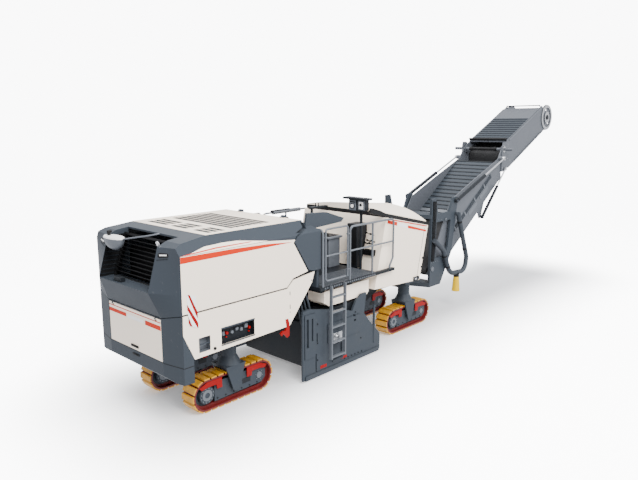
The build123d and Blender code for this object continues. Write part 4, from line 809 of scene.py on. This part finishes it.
# %% Wheel hubs and frame bolts on the tracks
hub_face, flank_face = 0.145, 0.125
for end in ("rear", "front"):
    for side_name, side in sides:
        low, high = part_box(f"track_belt_{end}_{side_name}")
        leg_x, leg_y = (low.x + high.x) / 2, (low.y + high.y) / 2

        def hub_plates(bm):
            for flank in (-1, 1):
                out = (0, flank, 0)
                hub = (leg_x - loop_half, leg_y + flank * hub_face, loop_middle)
                ring(bm, hub, out, 0.050, 0.100, 0.010)
                bolts(bm, around(hub, out, 0.125, 12), out)
                cap = (leg_x + loop_half, leg_y + flank * flank_face, loop_middle)
                ring(bm, cap, out, 0.0, 0.060, 0.012)
                bolts(bm, around(cap, out, 0.085, 6), out, 0.010)

        def frame_bolts(bm):
            for flank in (-1, 1):
                y = leg_y + flank * flank_face
                spots = [(leg_x - 0.36 + 0.18 * n, y, loop_middle - 0.125) for n in range(6)]
                spots += [(leg_x - 0.06 + 0.12 * n, y, loop_middle + 0.02) for n in range(2)]
                bolts(bm, spots, (0, flank, 0), 0.014, 0.012)
                low_end = (leg_x + 0.20, y - 0.006, loop_middle - 0.05)
                block(bm, low_end, (leg_x + 0.38, y + 0.006, loop_middle + 0.04))

        body = f"leg_{end}_{side_name}"
        built(f"hub_plates_{end}_{side_name}", hub_plates, rail_grey, body)
        built(f"frame_bolts_{end}_{side_name}", frame_bolts, dark, body)
print("tracks carry hubs and bolts")

# %% [markdown]
# ## Beside the air intake
#
# The intake sits deep between two pillars, whose inner faces are black and ribbed.
# An Array modifier could repeat one rib. A short loop does it here, because each
# rib also gets its own ends, which follow the pillar's two leaning edges.

# %% Dark cheeks beside the intake
cheek_y, cheek_z = 0.75, 2.285
cheek = ((0.012, cheek_z), (0.203, 2.960), (0.520, 2.965), (0.268, cheek_z))
for side_name, side in sides:
    inward = (0, -side, 0)
    plates(f"intake_cheek_{side_name}", [on_side(side, cheek, cheek_y)], inward, 0.0008, 0.003, black, "hood")
    ribs = []
    for n in range(9):
        z = 2.32 + 0.072 * n
        start, stop = 0.03 + (z - cheek_z) * 0.283, 0.26 + (z - cheek_z) * 0.371
        rib = ((start, z), (stop, z - 0.01), (stop, z + 0.008), (start, z + 0.018))
        ribs.append(on_side(side, rib, cheek_y))
    plates(f"intake_ribs_{side_name}", ribs, inward, 0.0035, 0.012, dark, "hood")
print("cheeks are dark, with", len(ribs), "ribs each")

# %% [markdown]
# ## Handles in the rear pillars
#
# A grab handle is let into each pillar, for pulling the hood down. The pillar's
# face leans two ways, so `on_pillar` works out how far ahead a point on it lies
# from its distance to the middle line and its height, and outlines stay flat.

# %% Handles in the rear pillars
pillar_turn, pillar_lean, pillar_start = 0.1853, 0.2505, -0.687


def on_pillar(side, outline):
    """Points on a rear pillar, each given by its distance from the middle line and its height."""
    return [(station(pillar_turn * y + pillar_lean * z + pillar_start), side * y, z) for y, z in outline]


recess = ((0.800, 2.872), (0.830, 2.884), (0.985, 2.896), (1.010, 2.890))
recess += ((1.022, 2.862), (1.008, 2.838), (0.840, 2.814), (0.806, 2.826))
grip_bar = ((0.842, 2.862), (0.978, 2.876), (0.984, 2.858), (0.846, 2.844))
groove = ((0.790, 2.780), (1.015, 2.822), (1.015, 2.812), (0.790, 2.770))
for side_name, side in sides:
    out = (-1, side * pillar_turn, pillar_lean)
    plates(f"handle_recess_{side_name}", [on_pillar(side, recess)], out, 0.002, 0.004, black, "hood")
    plates(f"handle_bar_{side_name}", [on_pillar(side, grip_bar)], out, 0.006, 0.010, white, "hood")
    plates(f"pillar_groove_{side_name}", [on_pillar(side, groove)], out, 0.002, 0.002, dark, "hood")
print("handles let into both pillars")

# %% [markdown]
# ## The front housing
#
# The housing over the front tracks repeats the orange lines under its sloping top
# edge. Each outline is given as a drop below that edge, which keeps the lines
# parallel to it. The latches and the corner lamp are small boxes with round edges.

# %% Bands and seams on the front housing
housing_y = 1.19
eaves_x, eaves_z, eaves_fall = 5.43, 2.89, 0.216


def below_eaves(*points):
    """Points on the housing, each given by its distance ahead and its drop below the top edge."""
    return [(x, eaves_z - eaves_fall * (x - eaves_x) - drop) for x, drop in points]


thin_stripe = below_eaves((5.50, 0.014), (7.00, 0.014), (6.99, 0.040), (5.49, 0.040))
thick_rear = below_eaves((5.49, 0.050), (5.83, 0.056), (5.82, 0.135), (5.47, 0.120))
thick_front = below_eaves((6.24, 0.086), (6.98, 0.118), (6.97, 0.160), (6.24, 0.148))
blank_plate = below_eaves((5.86, 0.062), (6.21, 0.080), (6.21, 0.150), (5.85, 0.135))
seam = ((6.90, 2.49), (6.912, 2.49), (6.652, 1.36), (6.64, 1.36))
for side_name, side in sides:
    out = (0, side, 0)
    stripes = [on_side(side, outline, housing_y) for outline in (thin_stripe, thick_rear, thick_front)]
    blank, line = on_side(side, blank_plate, housing_y), on_side(side, seam, housing_y)
    plates(f"front_bands_{side_name}", stripes, out, first_coat, 0.002, orange, "chassis")
    plates(f"front_plate_{side_name}", [blank], out, first_coat, 0.002, white, "chassis")
    plates(f"front_seam_{side_name}", [line], out, first_coat, 0.001, dark, "chassis")

    def front_latches(bm):
        for x, z in ((6.84, 1.80), (6.80, 1.60)):
            y = side * housing_y
            block(bm, (station(x), y - 0.012, z - 0.022), (station(x + 0.045), y + 0.012, z + 0.022))

    def corner_lamp(bm):
        y0, y1 = sorted((side * (housing_y - 0.01), side * (housing_y + 0.035)))
        block(bm, (station(6.50), y0, 1.322), (station(6.70), y1, 1.402))

    def corner_glass(bm):
        y0, y1 = sorted((side * (housing_y + 0.03), side * (housing_y + 0.040)))
        block(bm, (station(6.52), y0, 1.342), (station(6.60), y1, 1.384))

    built(f"front_latches_{side_name}", front_latches, black, "chassis", 0.004)
    built(f"corner_lamp_{side_name}", corner_lamp, dark, "chassis", 0.006)
    built(f"corner_glass_{side_name}", corner_glass, chrome, "chassis", 0.003)
print("front housing has its bands")

# %% [markdown]
# ## What the lower panels carry
#
# A red tie-down hook hangs at the panel's front end, short slits run down beside
# it, and the control box holds grey valves and red stop knobs behind a frame. They
# are small and half in shadow, so plain boxes and short round bars are enough, as
# long as each has its own paint and an edge that catches the light.

# %% Lower panels: hooks, slits and the control box
hook = ((2.40, 1.40), (2.47, 1.40), (2.50, 1.30), (2.495, 1.08), (2.44, 1.05), (2.40, 1.10))
hook += ((2.34, 1.15), (2.31, 1.11), (2.28, 1.16), (2.33, 1.20), (2.40, 1.19), (2.43, 1.24))
slit_heights = ((1.82, 1.89), (1.57, 1.65), (1.50, 1.52))
slits = [((2.515, low), (2.530, low), (2.530, high), (2.515, high)) for low, high in slit_heights]
# distance ahead, height, width and tallness of each valve
valves = ((1.05, 1.43, 0.05, 0.07), (1.33, 1.45, 0.06, 0.05))
valves += ((1.43, 1.42, 0.05, 0.06), (1.52, 1.45, 0.07, 0.07))
for side_name, side in sides:
    out = (0, side, 0)
    deep = side * (side_y - tray_depth)
    dashes = [on_side(side, slit) for slit in slits]
    plates(f"panel_dashes_{side_name}", dashes, out, first_coat, 0.001, dark, "chassis")
    plates(f"tie_hook_{side_name}", [on_side(side, hook)], out, -0.03, 0.035, red, "chassis")

    def controls(bm):
        for x, z, wide, tall in valves:
            y0, y1 = sorted((deep - side * 0.002, deep + side * 0.035))
            block(bm, (station(x), y0, z), (station(x + wide), y1, z + tall))
        drum(bm, (station(1.25), deep, 1.45), (station(1.25), deep + side * 0.045, 1.45), 0.028)

    def red_controls(bm):
        for x, z in ((1.14, 1.46), (1.62, 1.44)):
            drum(bm, (station(x), deep, z), (station(x), deep + side * 0.05, z), 0.026)
            drum(bm, (station(x), deep, z - 0.07), (station(x), deep + side * 0.03, z - 0.07), 0.014)

    def control_frame(bm):
        y0, y1 = sorted((side * (side_y - 0.02), side * (side_y + 0.012)))
        block(bm, (station(0.975), y0, 1.575), (station(1.685), y1, 1.60))
        block(bm, (station(0.975), y0, 1.30), (station(1.685), y1, 1.318))
        block(bm, (station(0.545), y0, 1.425), (station(0.755), y1 - side * 0.004, 1.438))

    def panel_knob(bm):
        # distance ahead, height, radius, and where it starts and ends from the wall
        for x, z, radius, start, end in ((0.84, 1.30, 0.024, 0.0, 0.022), (3.08, 1.99, 0.014, -0.002, 0.004)):
            drum(bm, (station(x), side * (side_y + start), z), (station(x), side * (side_y + end), z), radius)

    built(f"controls_{side_name}", controls, rail_grey, "chassis", 0.004)
    built(f"red_controls_{side_name}", red_controls, red, "chassis", 0.004)
    built(f"control_frame_{side_name}", control_frame, slate, "chassis", 0.005)
    built(f"panel_knob_{side_name}", panel_knob, black, "chassis", 0.004)
print("control boxes filled")

# %% [markdown]
# ## Latches, seams and a marker lamp at the rear
#
# The bumper meets the panels above it in a dark seam, and rubber latches hold the
# bumper's lid and the intake's grille. A seam this thin could be a groove cut in
# the solid; as a dark strip it looks the same and costs four corners.

# %% Rear end: latches, marker lamp and seams
seam_low, seam_high = 1.119, 1.131


def bumper_latch(bm):
    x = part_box("rear_bumper")[0].x
    block(bm, (x - 0.012, -0.11, 1.048), (x + 0.02, 0.09, 1.078))
    block(bm, (x - 0.020, -0.06, 1.054), (x - 0.010, 0.04, 1.070))


def intake_latch(bm):
    block(bm, (station(0.055), 0.15, 2.27), (station(0.14), 0.37, 2.36))
    bolts(bm, [(station(0.057), y, 2.315) for y in (0.19, 0.33)], (-1, 0, 0))


def marker_lamp(bm):
    drum(bm, (station(0.27), -0.72, 2.93), (station(0.23), -0.72, 3.0), 0.012)
    drum(bm, (station(0.245), -0.72, 2.985), (station(0.215), -0.72, 3.04), 0.028, 24, 0.02)


built("bumper_latch", bumper_latch, black, "chassis", 0.003)
for side_name, side in sides:
    corner_ends = ((0.17, 0.81), (0.255, 1.25))
    corner = [(station(x), side * y, seam_low) for x, y in corner_ends]
    corner += [(station(x), side * y, seam_high) for x, y in reversed(corner_ends)]
    corner_out = (-0.982, side * 0.19, 0)
    plates(f"bumper_seam_{side_name}", [corner], corner_out, first_coat, 0.001, black, "chassis")
    flank = on_side(side, ((0.258, seam_low), (0.435, seam_low), (0.435, seam_high), (0.258, seam_high)))
    plates(f"flank_seam_{side_name}", [flank], (0, side, 0), first_coat, 0.001, black, "chassis")
built("intake_latch", intake_latch, dark, "hood", 0.006)
built("marker_lamp", marker_lamp, chrome, "hood", 0.003)
print("the bumper's seam is", round(seam_high - seam_low, 3), "m high")

# %% [markdown]
# ## The mirror over the intake
#
# A mirror in a bowl-shaped shell hangs on a bent arm, so that the driver sees what
# is close behind. Half of a scaled sphere would do for the bowl. Rings of points
# that shrink by a cosine give the same form with an exact rim for the lid.

# %% Mirror over the intake
mirror_x, mirror_y, mirror_rim = 0.155, 0.46, 2.965
bowl_steps, bowl_depth = 6, 0.20


def mirror_bowl(bm):
    """A shallow bowl, open side up: rings of points from the rim down to its bottom."""
    middle = Vector((station(mirror_x), mirror_y, mirror_rim))
    turns = [radians(15 * n) for n in range(24)]
    rings = []
    for step in range(bowl_steps):
        wide, deep = cos(radians(15 * step)), sin(radians(15 * step))
        points = [(0.12 * wide * cos(turn), 0.27 * wide * sin(turn), -bowl_depth * deep) for turn in turns]
        rings.append([bm.verts.new(middle + Vector(point)) for point in points])
    bottom = bm.verts.new(middle - Vector((0, 0, bowl_depth)))
    for n in range(24):
        m = (n + 1) % 24
        for one, other in zip(rings, rings[1:]):
            bm.faces.new((one[n], one[m], other[m], other[n]))
        bm.faces.new((rings[-1][n], rings[-1][m], bottom))
    bm.faces.new(rings[0])


def mirror_lid(bm):
    middle = Matrix.Translation((station(mirror_x), mirror_y, 2.978)) @ Matrix.Diagonal((0.125, 0.28, 1, 1))
    bmesh.ops.create_cone(bm, cap_ends=True, segments=32, radius1=1, radius2=0.92, depth=0.028, matrix=middle)


def mirror_lamp(bm):
    drum(bm, (station(0.16), 0.62, 2.985), (station(0.15), 0.62, 3.065), 0.03)
    drum(bm, (station(0.13), 0.62, 3.045), (station(0.20), 0.62, 3.055), 0.026)


built("mirror_bowl", mirror_bowl, rail_grey, "hood")
built("mirror_lid", mirror_lid, white, "hood", 0.004)
built("mirror_lamp", mirror_lamp, black, "hood", 0.004)
arm = [(0.17, 0.20, 2.97), (0.19, -0.05, 3.02), (0.25, -0.34, 3.075)]
arm += [(0.34, -0.46, 3.10), (0.42, -0.48, 3.112)]
pipe("mirror_arm", [(station(x), y, z) for x, y, z in arm], 0.013, rail_grey, "hood")
print("the mirror's arm bends through", len(arm), "points")

# %% [markdown]
# ## Covers of the conveyor
#
# Both halves of the conveyor are closed by ribbed covers on a slope. One way is to
# build each piece flat and turn it. Here `incline` makes a function that turns a
# distance up the slope, a height over it and y into a point, so that every piece
# is built in place and its numbers can be read along the conveyor.

# %% Conveyor covers and ribs
low_slope, high_slope = 34.2, 24.5


def incline(x, z, degrees):
    """Gives a function that turns a distance up a slope, a height over it and y into a point."""
    along = Vector((cos(radians(degrees)), 0, sin(radians(degrees))))
    above = Vector((-sin(radians(degrees)), 0, cos(radians(degrees))))
    return lambda u, v, y: Vector((station(x), y, z)) + along * u + above * v


low_run = incline(8.05, 1.25, low_slope)
high_run = incline(11.8, 4.13, high_slope)


def strip(run, u0, u1, v, half):
    """A rectangle across a slope, from u0 to u1 along it and v over it."""
    return [run(u0, v, -half), run(u1, v, -half), run(u1, v, half), run(u0, v, half)]


low_up = low_run(0, 1, 0) - low_run(0, 0, 0)
high_up = high_run(0, 1, 0) - high_run(0, 0, 0)
low_cover, high_cover = 0.24, 0.1045
low_ribs = [strip(low_run, u, u + 0.035, low_cover, 0.585) for u in [1.80 + 0.165 * n for n in range(15)]]
plates("lower_cover_ribs", low_ribs, low_up, 0.0, 0.012, dark, "lower_conveyor")
high_sheet = [strip(high_run, 0.32, 1.95, 0.10, 0.565)]
plates("upper_cover_sheet", high_sheet, high_up, first_coat, 0.004, slate, "upper_conveyor")
high_ribs = [strip(high_run, u, u + 0.03, high_cover, 0.56) for u in [0.36 + 0.15 * n for n in range(11)]]
plates("upper_cover_ribs", high_ribs, high_up, 0.0, 0.010, dark, "upper_conveyor")
print(len(low_ribs) + len(high_ribs), "ribs stiffen the covers")

# %% [markdown]
# ## The fold joint and the head
#
# The conveyor's halves meet at a tube under a guard bar, and at its top end the
# belt turns over the head drum, between round plates with rings of bolts. Each
# piece rides on the half that carries it in the real machine: the tube stays below
# when the upper half folds over, and the guard bar goes with the fold.

# %% Fold joint


def joint_bar(bm):
    drum(bm, high_run(0.33, 0.16, -0.60), high_run(0.33, 0.16, 0.60), 0.032)
    for y in (-0.58, 0.0, 0.58):
        drum(bm, high_run(0.33, 0.095, y), high_run(0.33, 0.16, y), 0.018)


def fold_sleeve(bm):
    drum(bm, high_run(0, 0, -0.44), high_run(0, 0, 0.44), 0.047)
    for y in (-0.38, 0.38):
        drum(bm, high_run(0, 0, y - 0.035), high_run(0, 0, y + 0.035), 0.062)


built("joint_bar", joint_bar, black, "upper_conveyor", 0.003)
built("fold_sleeve", fold_sleeve, black, "lower_conveyor", 0.003)
tail_plate = [strip(low_run, 1.765, 1.955, low_cover, 0.595)]
plates("tail_plate", tail_plate, low_up, first_coat, 0.004, rail_grey, "lower_conveyor")
print("the fold tube lies at", [round(v, 2) for v in high_run(0, 0, 0)])

# %% Head of the conveyor


def head_hoop(bm):
    for y in (-0.55, 0.55):
        drum(bm, high_run(2.90, 0.0, y), high_run(2.84, 0.14, y), 0.016)
    drum(bm, high_run(2.84, 0.14, -0.56), high_run(2.84, 0.14, 0.56), 0.018)


built("head_hoop", head_hoop, dark, "upper_conveyor", 0.003)


def head_rings(bm):
    for side in (-1, 1):
        centre, out = high_run(3.10, -0.38, side * 0.620), (0, side, 0)
        ring(bm, centre, out, 0.305, 0.392, 0.006, 48)
        ring(bm, centre, out, 0.085, 0.175, 0.008, 48)
        bolts(bm, around(centre, out, 0.348, 16), out, 0.014, 0.016)
        bolts(bm, around(centre, out, 0.130, 6), out, 0.014, 0.018)


def wall_trim(bm):
    for side in (-1, 1):
        y0, y1 = sorted((side * 0.618, side * 0.630))
        for u0, u1, v0, v1 in ((0.45, 2.72, 0.062, 0.092), (0.55, 2.60, -0.668, -0.640)):
            outline = ((u0, v0), (u1, v0), (u1, v1), (u0, v1))
            ends = [bm.verts.new(high_run(u, v, y)) for y in (y0, y1) for u, v in outline]
            bm.faces.new(ends[:4])
            bm.faces.new(ends[4:])
            for n in range(4):
                m = (n + 1) % 4
                bm.faces.new((ends[n], ends[m], ends[m + 4], ends[n + 4]))


def joint_bolts(bm):
    places = ((0.0, 0.13), (0.24, 0.03), (0.24, -0.16), (0.10, -0.34), (0.22, -0.46))
    for side in (-1, 1):
        y, out = side * 0.656, (0, side, 0)
        bolts(bm, [high_run(u, v, y) for u, v in places], out, 0.016, 0.014)
        ring(bm, high_run(0, 0, y), out, 0.045, 0.085, 0.012)


built("head_rings", head_rings, bright_steel, "upper_conveyor")
built("wall_trim", wall_trim, rail_grey, "upper_conveyor", smooth=False)
built("joint_bolts", joint_bolts, bright_steel, "upper_conveyor")
print("the head lies at", [round(v, 2) for v in high_run(3.10, -0.38, 0)])

# %% [markdown]
# ## Oil pipes on the conveyor
#
# Steel pipes carry oil up both walls to the motor in the head, held by clips at
# even steps, and flat patches cover the openings beside them. A curve with a round
# bevel is the easy way to a pipe: points and a radius, and no mesh to mend later.

# %% Pipes along the lower conveyor
wall_face = 0.624
# start and end up the slope, low and high edge over it
patch_places = ((2.25, 2.75, -0.17, -0.05), (2.95, 3.45, -0.17, -0.05), (1.45, 1.95, 0.16, 0.21))


def low_slab(bm, u0, u1, v0, v1, y0, y1):
    """A box that lies along the lower conveyor's slope."""
    middle = (low_run(u0, v0, y0) + low_run(u1, v1, y1)) / 2
    turned = Matrix.Rotation(-radians(low_slope), 4, "Y")
    size = Matrix.Diagonal((u1 - u0, y1 - y0, v1 - v0, 1))
    bmesh.ops.create_cube(bm, size=1, matrix=Matrix.Translation(middle) @ turned @ size)


for side_name, side in sides:
    for n, v in enumerate((0.02, 0.06, 0.10)):
        points = [low_run(u, v, side * 0.640) for u in (1.30, 2.20, 3.10, 3.75)]
        pipe(f"oil_pipe_{side_name}_{n}", points, 0.011, hose_rubber, "lower_conveyor")

    def pipe_clips(bm):
        y0, y1 = sorted((side * wall_face, side * (wall_face + 0.030)))
        for u in (1.45, 2.05, 2.65, 3.25):
            low_slab(bm, u, u + 0.05, 0.0, 0.125, y0, y1)

    def wall_patches(bm):
        y0, y1 = sorted((side * wall_face, side * (wall_face + 0.008)))
        for u0, u1, v0, v1 in patch_places:
            low_slab(bm, u0, u1, v0, v1, y0, y1)

    built(f"pipe_clips_{side_name}", pipe_clips, rail_grey, "lower_conveyor", 0.003)
    built(f"wall_patches_{side_name}", wall_patches, rail_grey, "lower_conveyor", 0.002)
print("three pipes run up each wall, which stands at y", wall_face)

# %% [markdown]
# ## Hoses and pins on the slew frame
#
# The slew frame turns on the machine's nose and carries the conveyor on big pins.
# Hoses run down its plates, and bolted washers keep the pins in. They tell the eye
# that the frame is thick plate, which flat paint alone would not.

# %% Hoses, pins and bolts on the slew frame
frame_face = 0.72
for side_name, side in sides:
    for n in range(3):
        x, y = 8.00 + 0.045 * n, 0.737 + 0.006 * n
        bends = ((0, 2.96), (0.02, 2.70), (-0.01, 2.30), (0.01, 1.90), (-0.02, 1.45))
        hose = [(station(x + ahead), side * y, z) for ahead, z in bends]
        pipe(f"frame_hose_{side_name}_{n}", hose, 0.012, black, "slew_frame")

    def frame_pins(bm):
        out, y = (0, side, 0), side * frame_face
        for x, z, wide in ((8.05, 1.25, 0.065), (8.60, 2.45, 0.035)):
            ring(bm, (station(x), y, z), out, 0.0, wide, 0.014)
            bolts(bm, around((station(x), y, z), out, wide * 0.72, 6), out, 0.013, 0.024)
        bolts(bm, [(station(7.99 + 0.10 * n), y, 1.42) for n in range(4)], out)
        bolts(bm, [(station(8.00 + 0.13 * n), y, 2.47) for n in range(4)], out)

    built(f"frame_pins_{side_name}", frame_pins, rail_grey, "slew_frame")
print("the slew frame's plates stand at y", frame_face)

# %% [markdown]
# ## Skirt and clamps of the dust duct
#
# The duct that draws off dust ends in a yellow skirt of soft plastic that flares a
# little, below a black collar. Cones with two radii make both, and short thick
# drums round the duct are its clamps.

# %% Skirt of the dust duct
skirt_top, skirt_end = 0.872, 0.485
low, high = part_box("duct_sleeve")
skirt_x, skirt_y = (low.x + high.x) / 2, (low.y + high.y) / 2


def sleeve_skirt(bm):
    drum(bm, (skirt_x, skirt_y, skirt_top), (skirt_x, skirt_y, skirt_end), 0.072, 32, 0.105)


def skirt_collar(bm):
    drum(bm, (skirt_x, skirt_y, 0.870), (skirt_x, skirt_y, 0.985), 0.075, 32)


built("sleeve_skirt", sleeve_skirt, sleeve_rubber, "slew_frame", 0.004)
built("skirt_collar", skirt_collar, black, "slew_frame", 0.004)
print("the skirt hangs to z", skirt_end)

# %% Duct clamps
duct_y = -(frame_face + 0.015 + 0.062)
duct_clamp_ends = (((8.50, 1.545), (8.52, 1.507)), ((8.66, 1.24), (8.68, 1.20)))
duct_clamp_ends += (((9.52, 1.56), (9.503, 1.60)), ((9.20, 2.31), (9.183, 2.35)))


def duct_clamps(bm):
    for (x0, z0), (x1, z1) in duct_clamp_ends:
        drum(bm, (station(x0), duct_y, z0), (station(x1), duct_y, z1), 0.067, 32)


built("duct_clamps", duct_clamps, black, "slew_frame", 0.003)
print("duct clamps:", len(duct_clamp_ends))

# %% [markdown]
# ## The operator's place
#
# Between the rails stand a control panel on its post, a desk with knobs, a cabinet
# and a group of levers. All of it is seen past the rails and mostly in shadow, so
# the shapes stay plain boxes, and what matters is where they stand, how tall they
# are and that light and dark faces alternate.

# %% Operator's place: control panel
panel_x = 4.874


def panel_faces(bm):
    for y, half, low in ((-0.725, 0.092, 3.06), (-0.955, 0.090, 3.075)):
        block(bm, (station(4.872), y - half, low), (station(4.884), y + half, 3.275))


def panel_lights(bm):
    drum(bm, (station(panel_x), -0.725, 3.15), (station(4.856), -0.725, 3.15), 0.040)
    block(bm, (station(4.864), -1.01, 3.10), (station(panel_x), -0.90, 3.25))


def panel_knobs(bm):
    drum(bm, (station(4.866), -0.955, 3.19), (station(4.840), -0.955, 3.19), 0.028)
    ring(bm, (station(panel_x), -0.725, 3.15), (-1, 0, 0), 0.040, 0.055, 0.014)
    block(bm, (station(4.868), -0.80, 3.225), (station(4.876), -0.65, 3.245))


print("the control panel faces back at", panel_x, "m")

# %% Operator's place: desk, cabinet and levers
# distance from the middle line and height of each lever
lever_places = ((-0.82, 2.30), (-0.88, 2.36), (-0.94, 2.30), (-1.00, 2.36), (-0.85, 2.52), (-0.97, 2.50))


def cabinet(bm):
    block(bm, (station(5.02), -0.74, 1.80), (station(5.36), -0.46, 2.74))


def cabinet_face(bm):
    block(bm, (station(5.012), -0.725, 1.86), (station(5.02), -0.475, 2.70))


def levers(bm):
    for y, z in lever_places:
        drum(bm, (station(5.30), y, z), (station(5.20), y, z + 0.04), 0.012)
        drum(bm, (station(5.20), y, z + 0.04), (station(5.17), y, z + 0.05), 0.022)
    block(bm, (station(5.18), -1.06, 2.08), (station(5.32), -0.78, 2.20))


def desk(bm):
    block(bm, (station(4.62), -0.30, 1.80), (station(4.98), 0.34, 2.42))
    block(bm, (station(4.56), -0.34, 2.42), (station(5.02), 0.38, 2.47))


def desk_top(bm):
    block(bm, (station(4.60), -0.28, 2.470), (station(4.96), 0.32, 2.482))
    for y in (-0.2, -0.09, 0.02, 0.13, 0.24):
        drum(bm, (station(4.70), y, 2.48), (station(4.70), y, 2.53), 0.016)


built("desk", desk, rail_grey, "chassis", 0.015)
built("desk_top", desk_top, black, "chassis", 0.004)
built("panel_faces", panel_faces, rail_grey, "chassis", 0.006)
built("panel_lights", panel_lights, white, "chassis", 0.003)
built("panel_knobs", panel_knobs, black, "chassis", 0.003)
built("cabinet", cabinet, dark, "chassis", 0.012)
built("cabinet_face", cabinet_face, black, "chassis", 0.004)
built("levers", levers, black, "chassis", 0.002)
print("levers beside the cabinet:", len(lever_places))

# %% [markdown]
# ## Treads, grip and hoses
#
# Raised bars keep boots from slipping on the platform, a soft grip covers one rail
# and hoses hang between the hood and the drum housing. Bump would be enough for
# the bars from afar, but they show at the platform's edge, so they are geometry.

# %% Treads, grip and hoses
rail_radius = 0.021
rail_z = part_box("guard_rails")[1].z - rail_radius
tread_pitch, tread_wide = 0.036, 0.012
grip = [(station(x), 1.265, rail_z) for x in (4.42, 4.70, 4.98)]
pipe("rail_grip", grip, 0.034, black, "chassis", bend=False)
low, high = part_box("platform_floor")


def tread_bars(bm):
    for n in range(44):
        x = station(3.42 + tread_pitch * n)
        for y0, y1 in ((-1.27, -0.60), (0.60, 1.27)):
            block(bm, (x, y0, high.z - 0.001), (x + tread_wide, y1, high.z + 0.006))


def edge_studs(bm):
    for side in (-1, 1):
        y0, y1 = sorted((side * (high.y - 0.002), side * (high.y + 0.004)))
        for n in range(24):
            x = station(3.40 + 0.066 * n)
            block(bm, (x, y0, high.z - 0.045), (x + 0.030, y1, high.z - 0.015))


built("tread_bars", tread_bars, rail_grey, "chassis", smooth=False)
built("edge_studs", edge_studs, rail_grey, "chassis", smooth=False)
for side_name, side in sides:
    for n in range(4):
        x, y = 3.06 + 0.055 * n, 0.93 + 0.045 * n
        # how far ahead, how far out and how high each point of the hose is
        bends = ((-0.10, 0, 1.66), (-0.02, 0, 1.45), (0.02, 0.02, 1.18), (0.10, 0, 0.98), (0.22, -0.02, 0.92))
        hose = [(station(x + ahead), side * (y + outward), z) for ahead, outward, z in bends]
        pipe(f"hose_{side_name}_{n}", hose, 0.016 + 0.003 * (n % 2), hose_rubber, "chassis")
print("treads every", tread_pitch, "m, at z", round(high.z, 3))

# %% [markdown]
# ## Side plates
#
# The side plates slide up and down beside the drum. On each sit a steel guide
# fitting, a few bolts and two blank red tags. They ride on the plate's own body,
# so that they rise with it, and stand out just enough to cast a small shadow.

# %% Side plates: guide fittings, bolts and tags
plate_face = 1.195
plate_bolt_places = ((3.30, 1.08), (3.30, 0.70), (3.30, 0.36), (4.43, 1.06), (4.47, 0.82), (4.62, 0.46))
for side_name, side in sides:
    y = side * plate_face
    out = (0, side, 0)
    body = f"side_plate_{side_name}"

    def fitting(bm):
        y0, y1 = sorted((y - side * 0.004, y + side * 0.022))
        block(bm, (station(3.74), y0, 0.57), (station(4.00), y1, 0.78))
        drum(bm, (station(3.87), y, 0.68), (station(3.87), y + side * 0.04, 0.68), 0.055)
        front = y + side * 0.022
        bolts(bm, [(station(a), front, b) for a in (3.765, 3.975) for b in (0.595, 0.755)], out)

    def plate_bolts(bm):
        spots = [(station(x), y, z) for x, z in plate_bolt_places]
        spots += [(station(4.10 + 0.11 * n), y, 0.165) for n in range(6)]
        bolts(bm, spots, out, 0.016, 0.012)

    def tags(bm):
        y0, y1 = sorted((y - side * 0.002, y + side * 0.004))
        block(bm, (station(3.38), y0, 0.155), (station(3.56), y1, 0.215))
        block(bm, (station(3.99), y0, 0.175), (station(4.17), y1, 0.225))

    built(f"plate_fitting_{side_name}", fitting, bright_steel, body, 0.004)
    built(f"plate_bolts_{side_name}", plate_bolts, dark, body)
    built(f"plate_tags_{side_name}", tags, red, body, 0.001)
print("side plates fitted at y", plate_face)
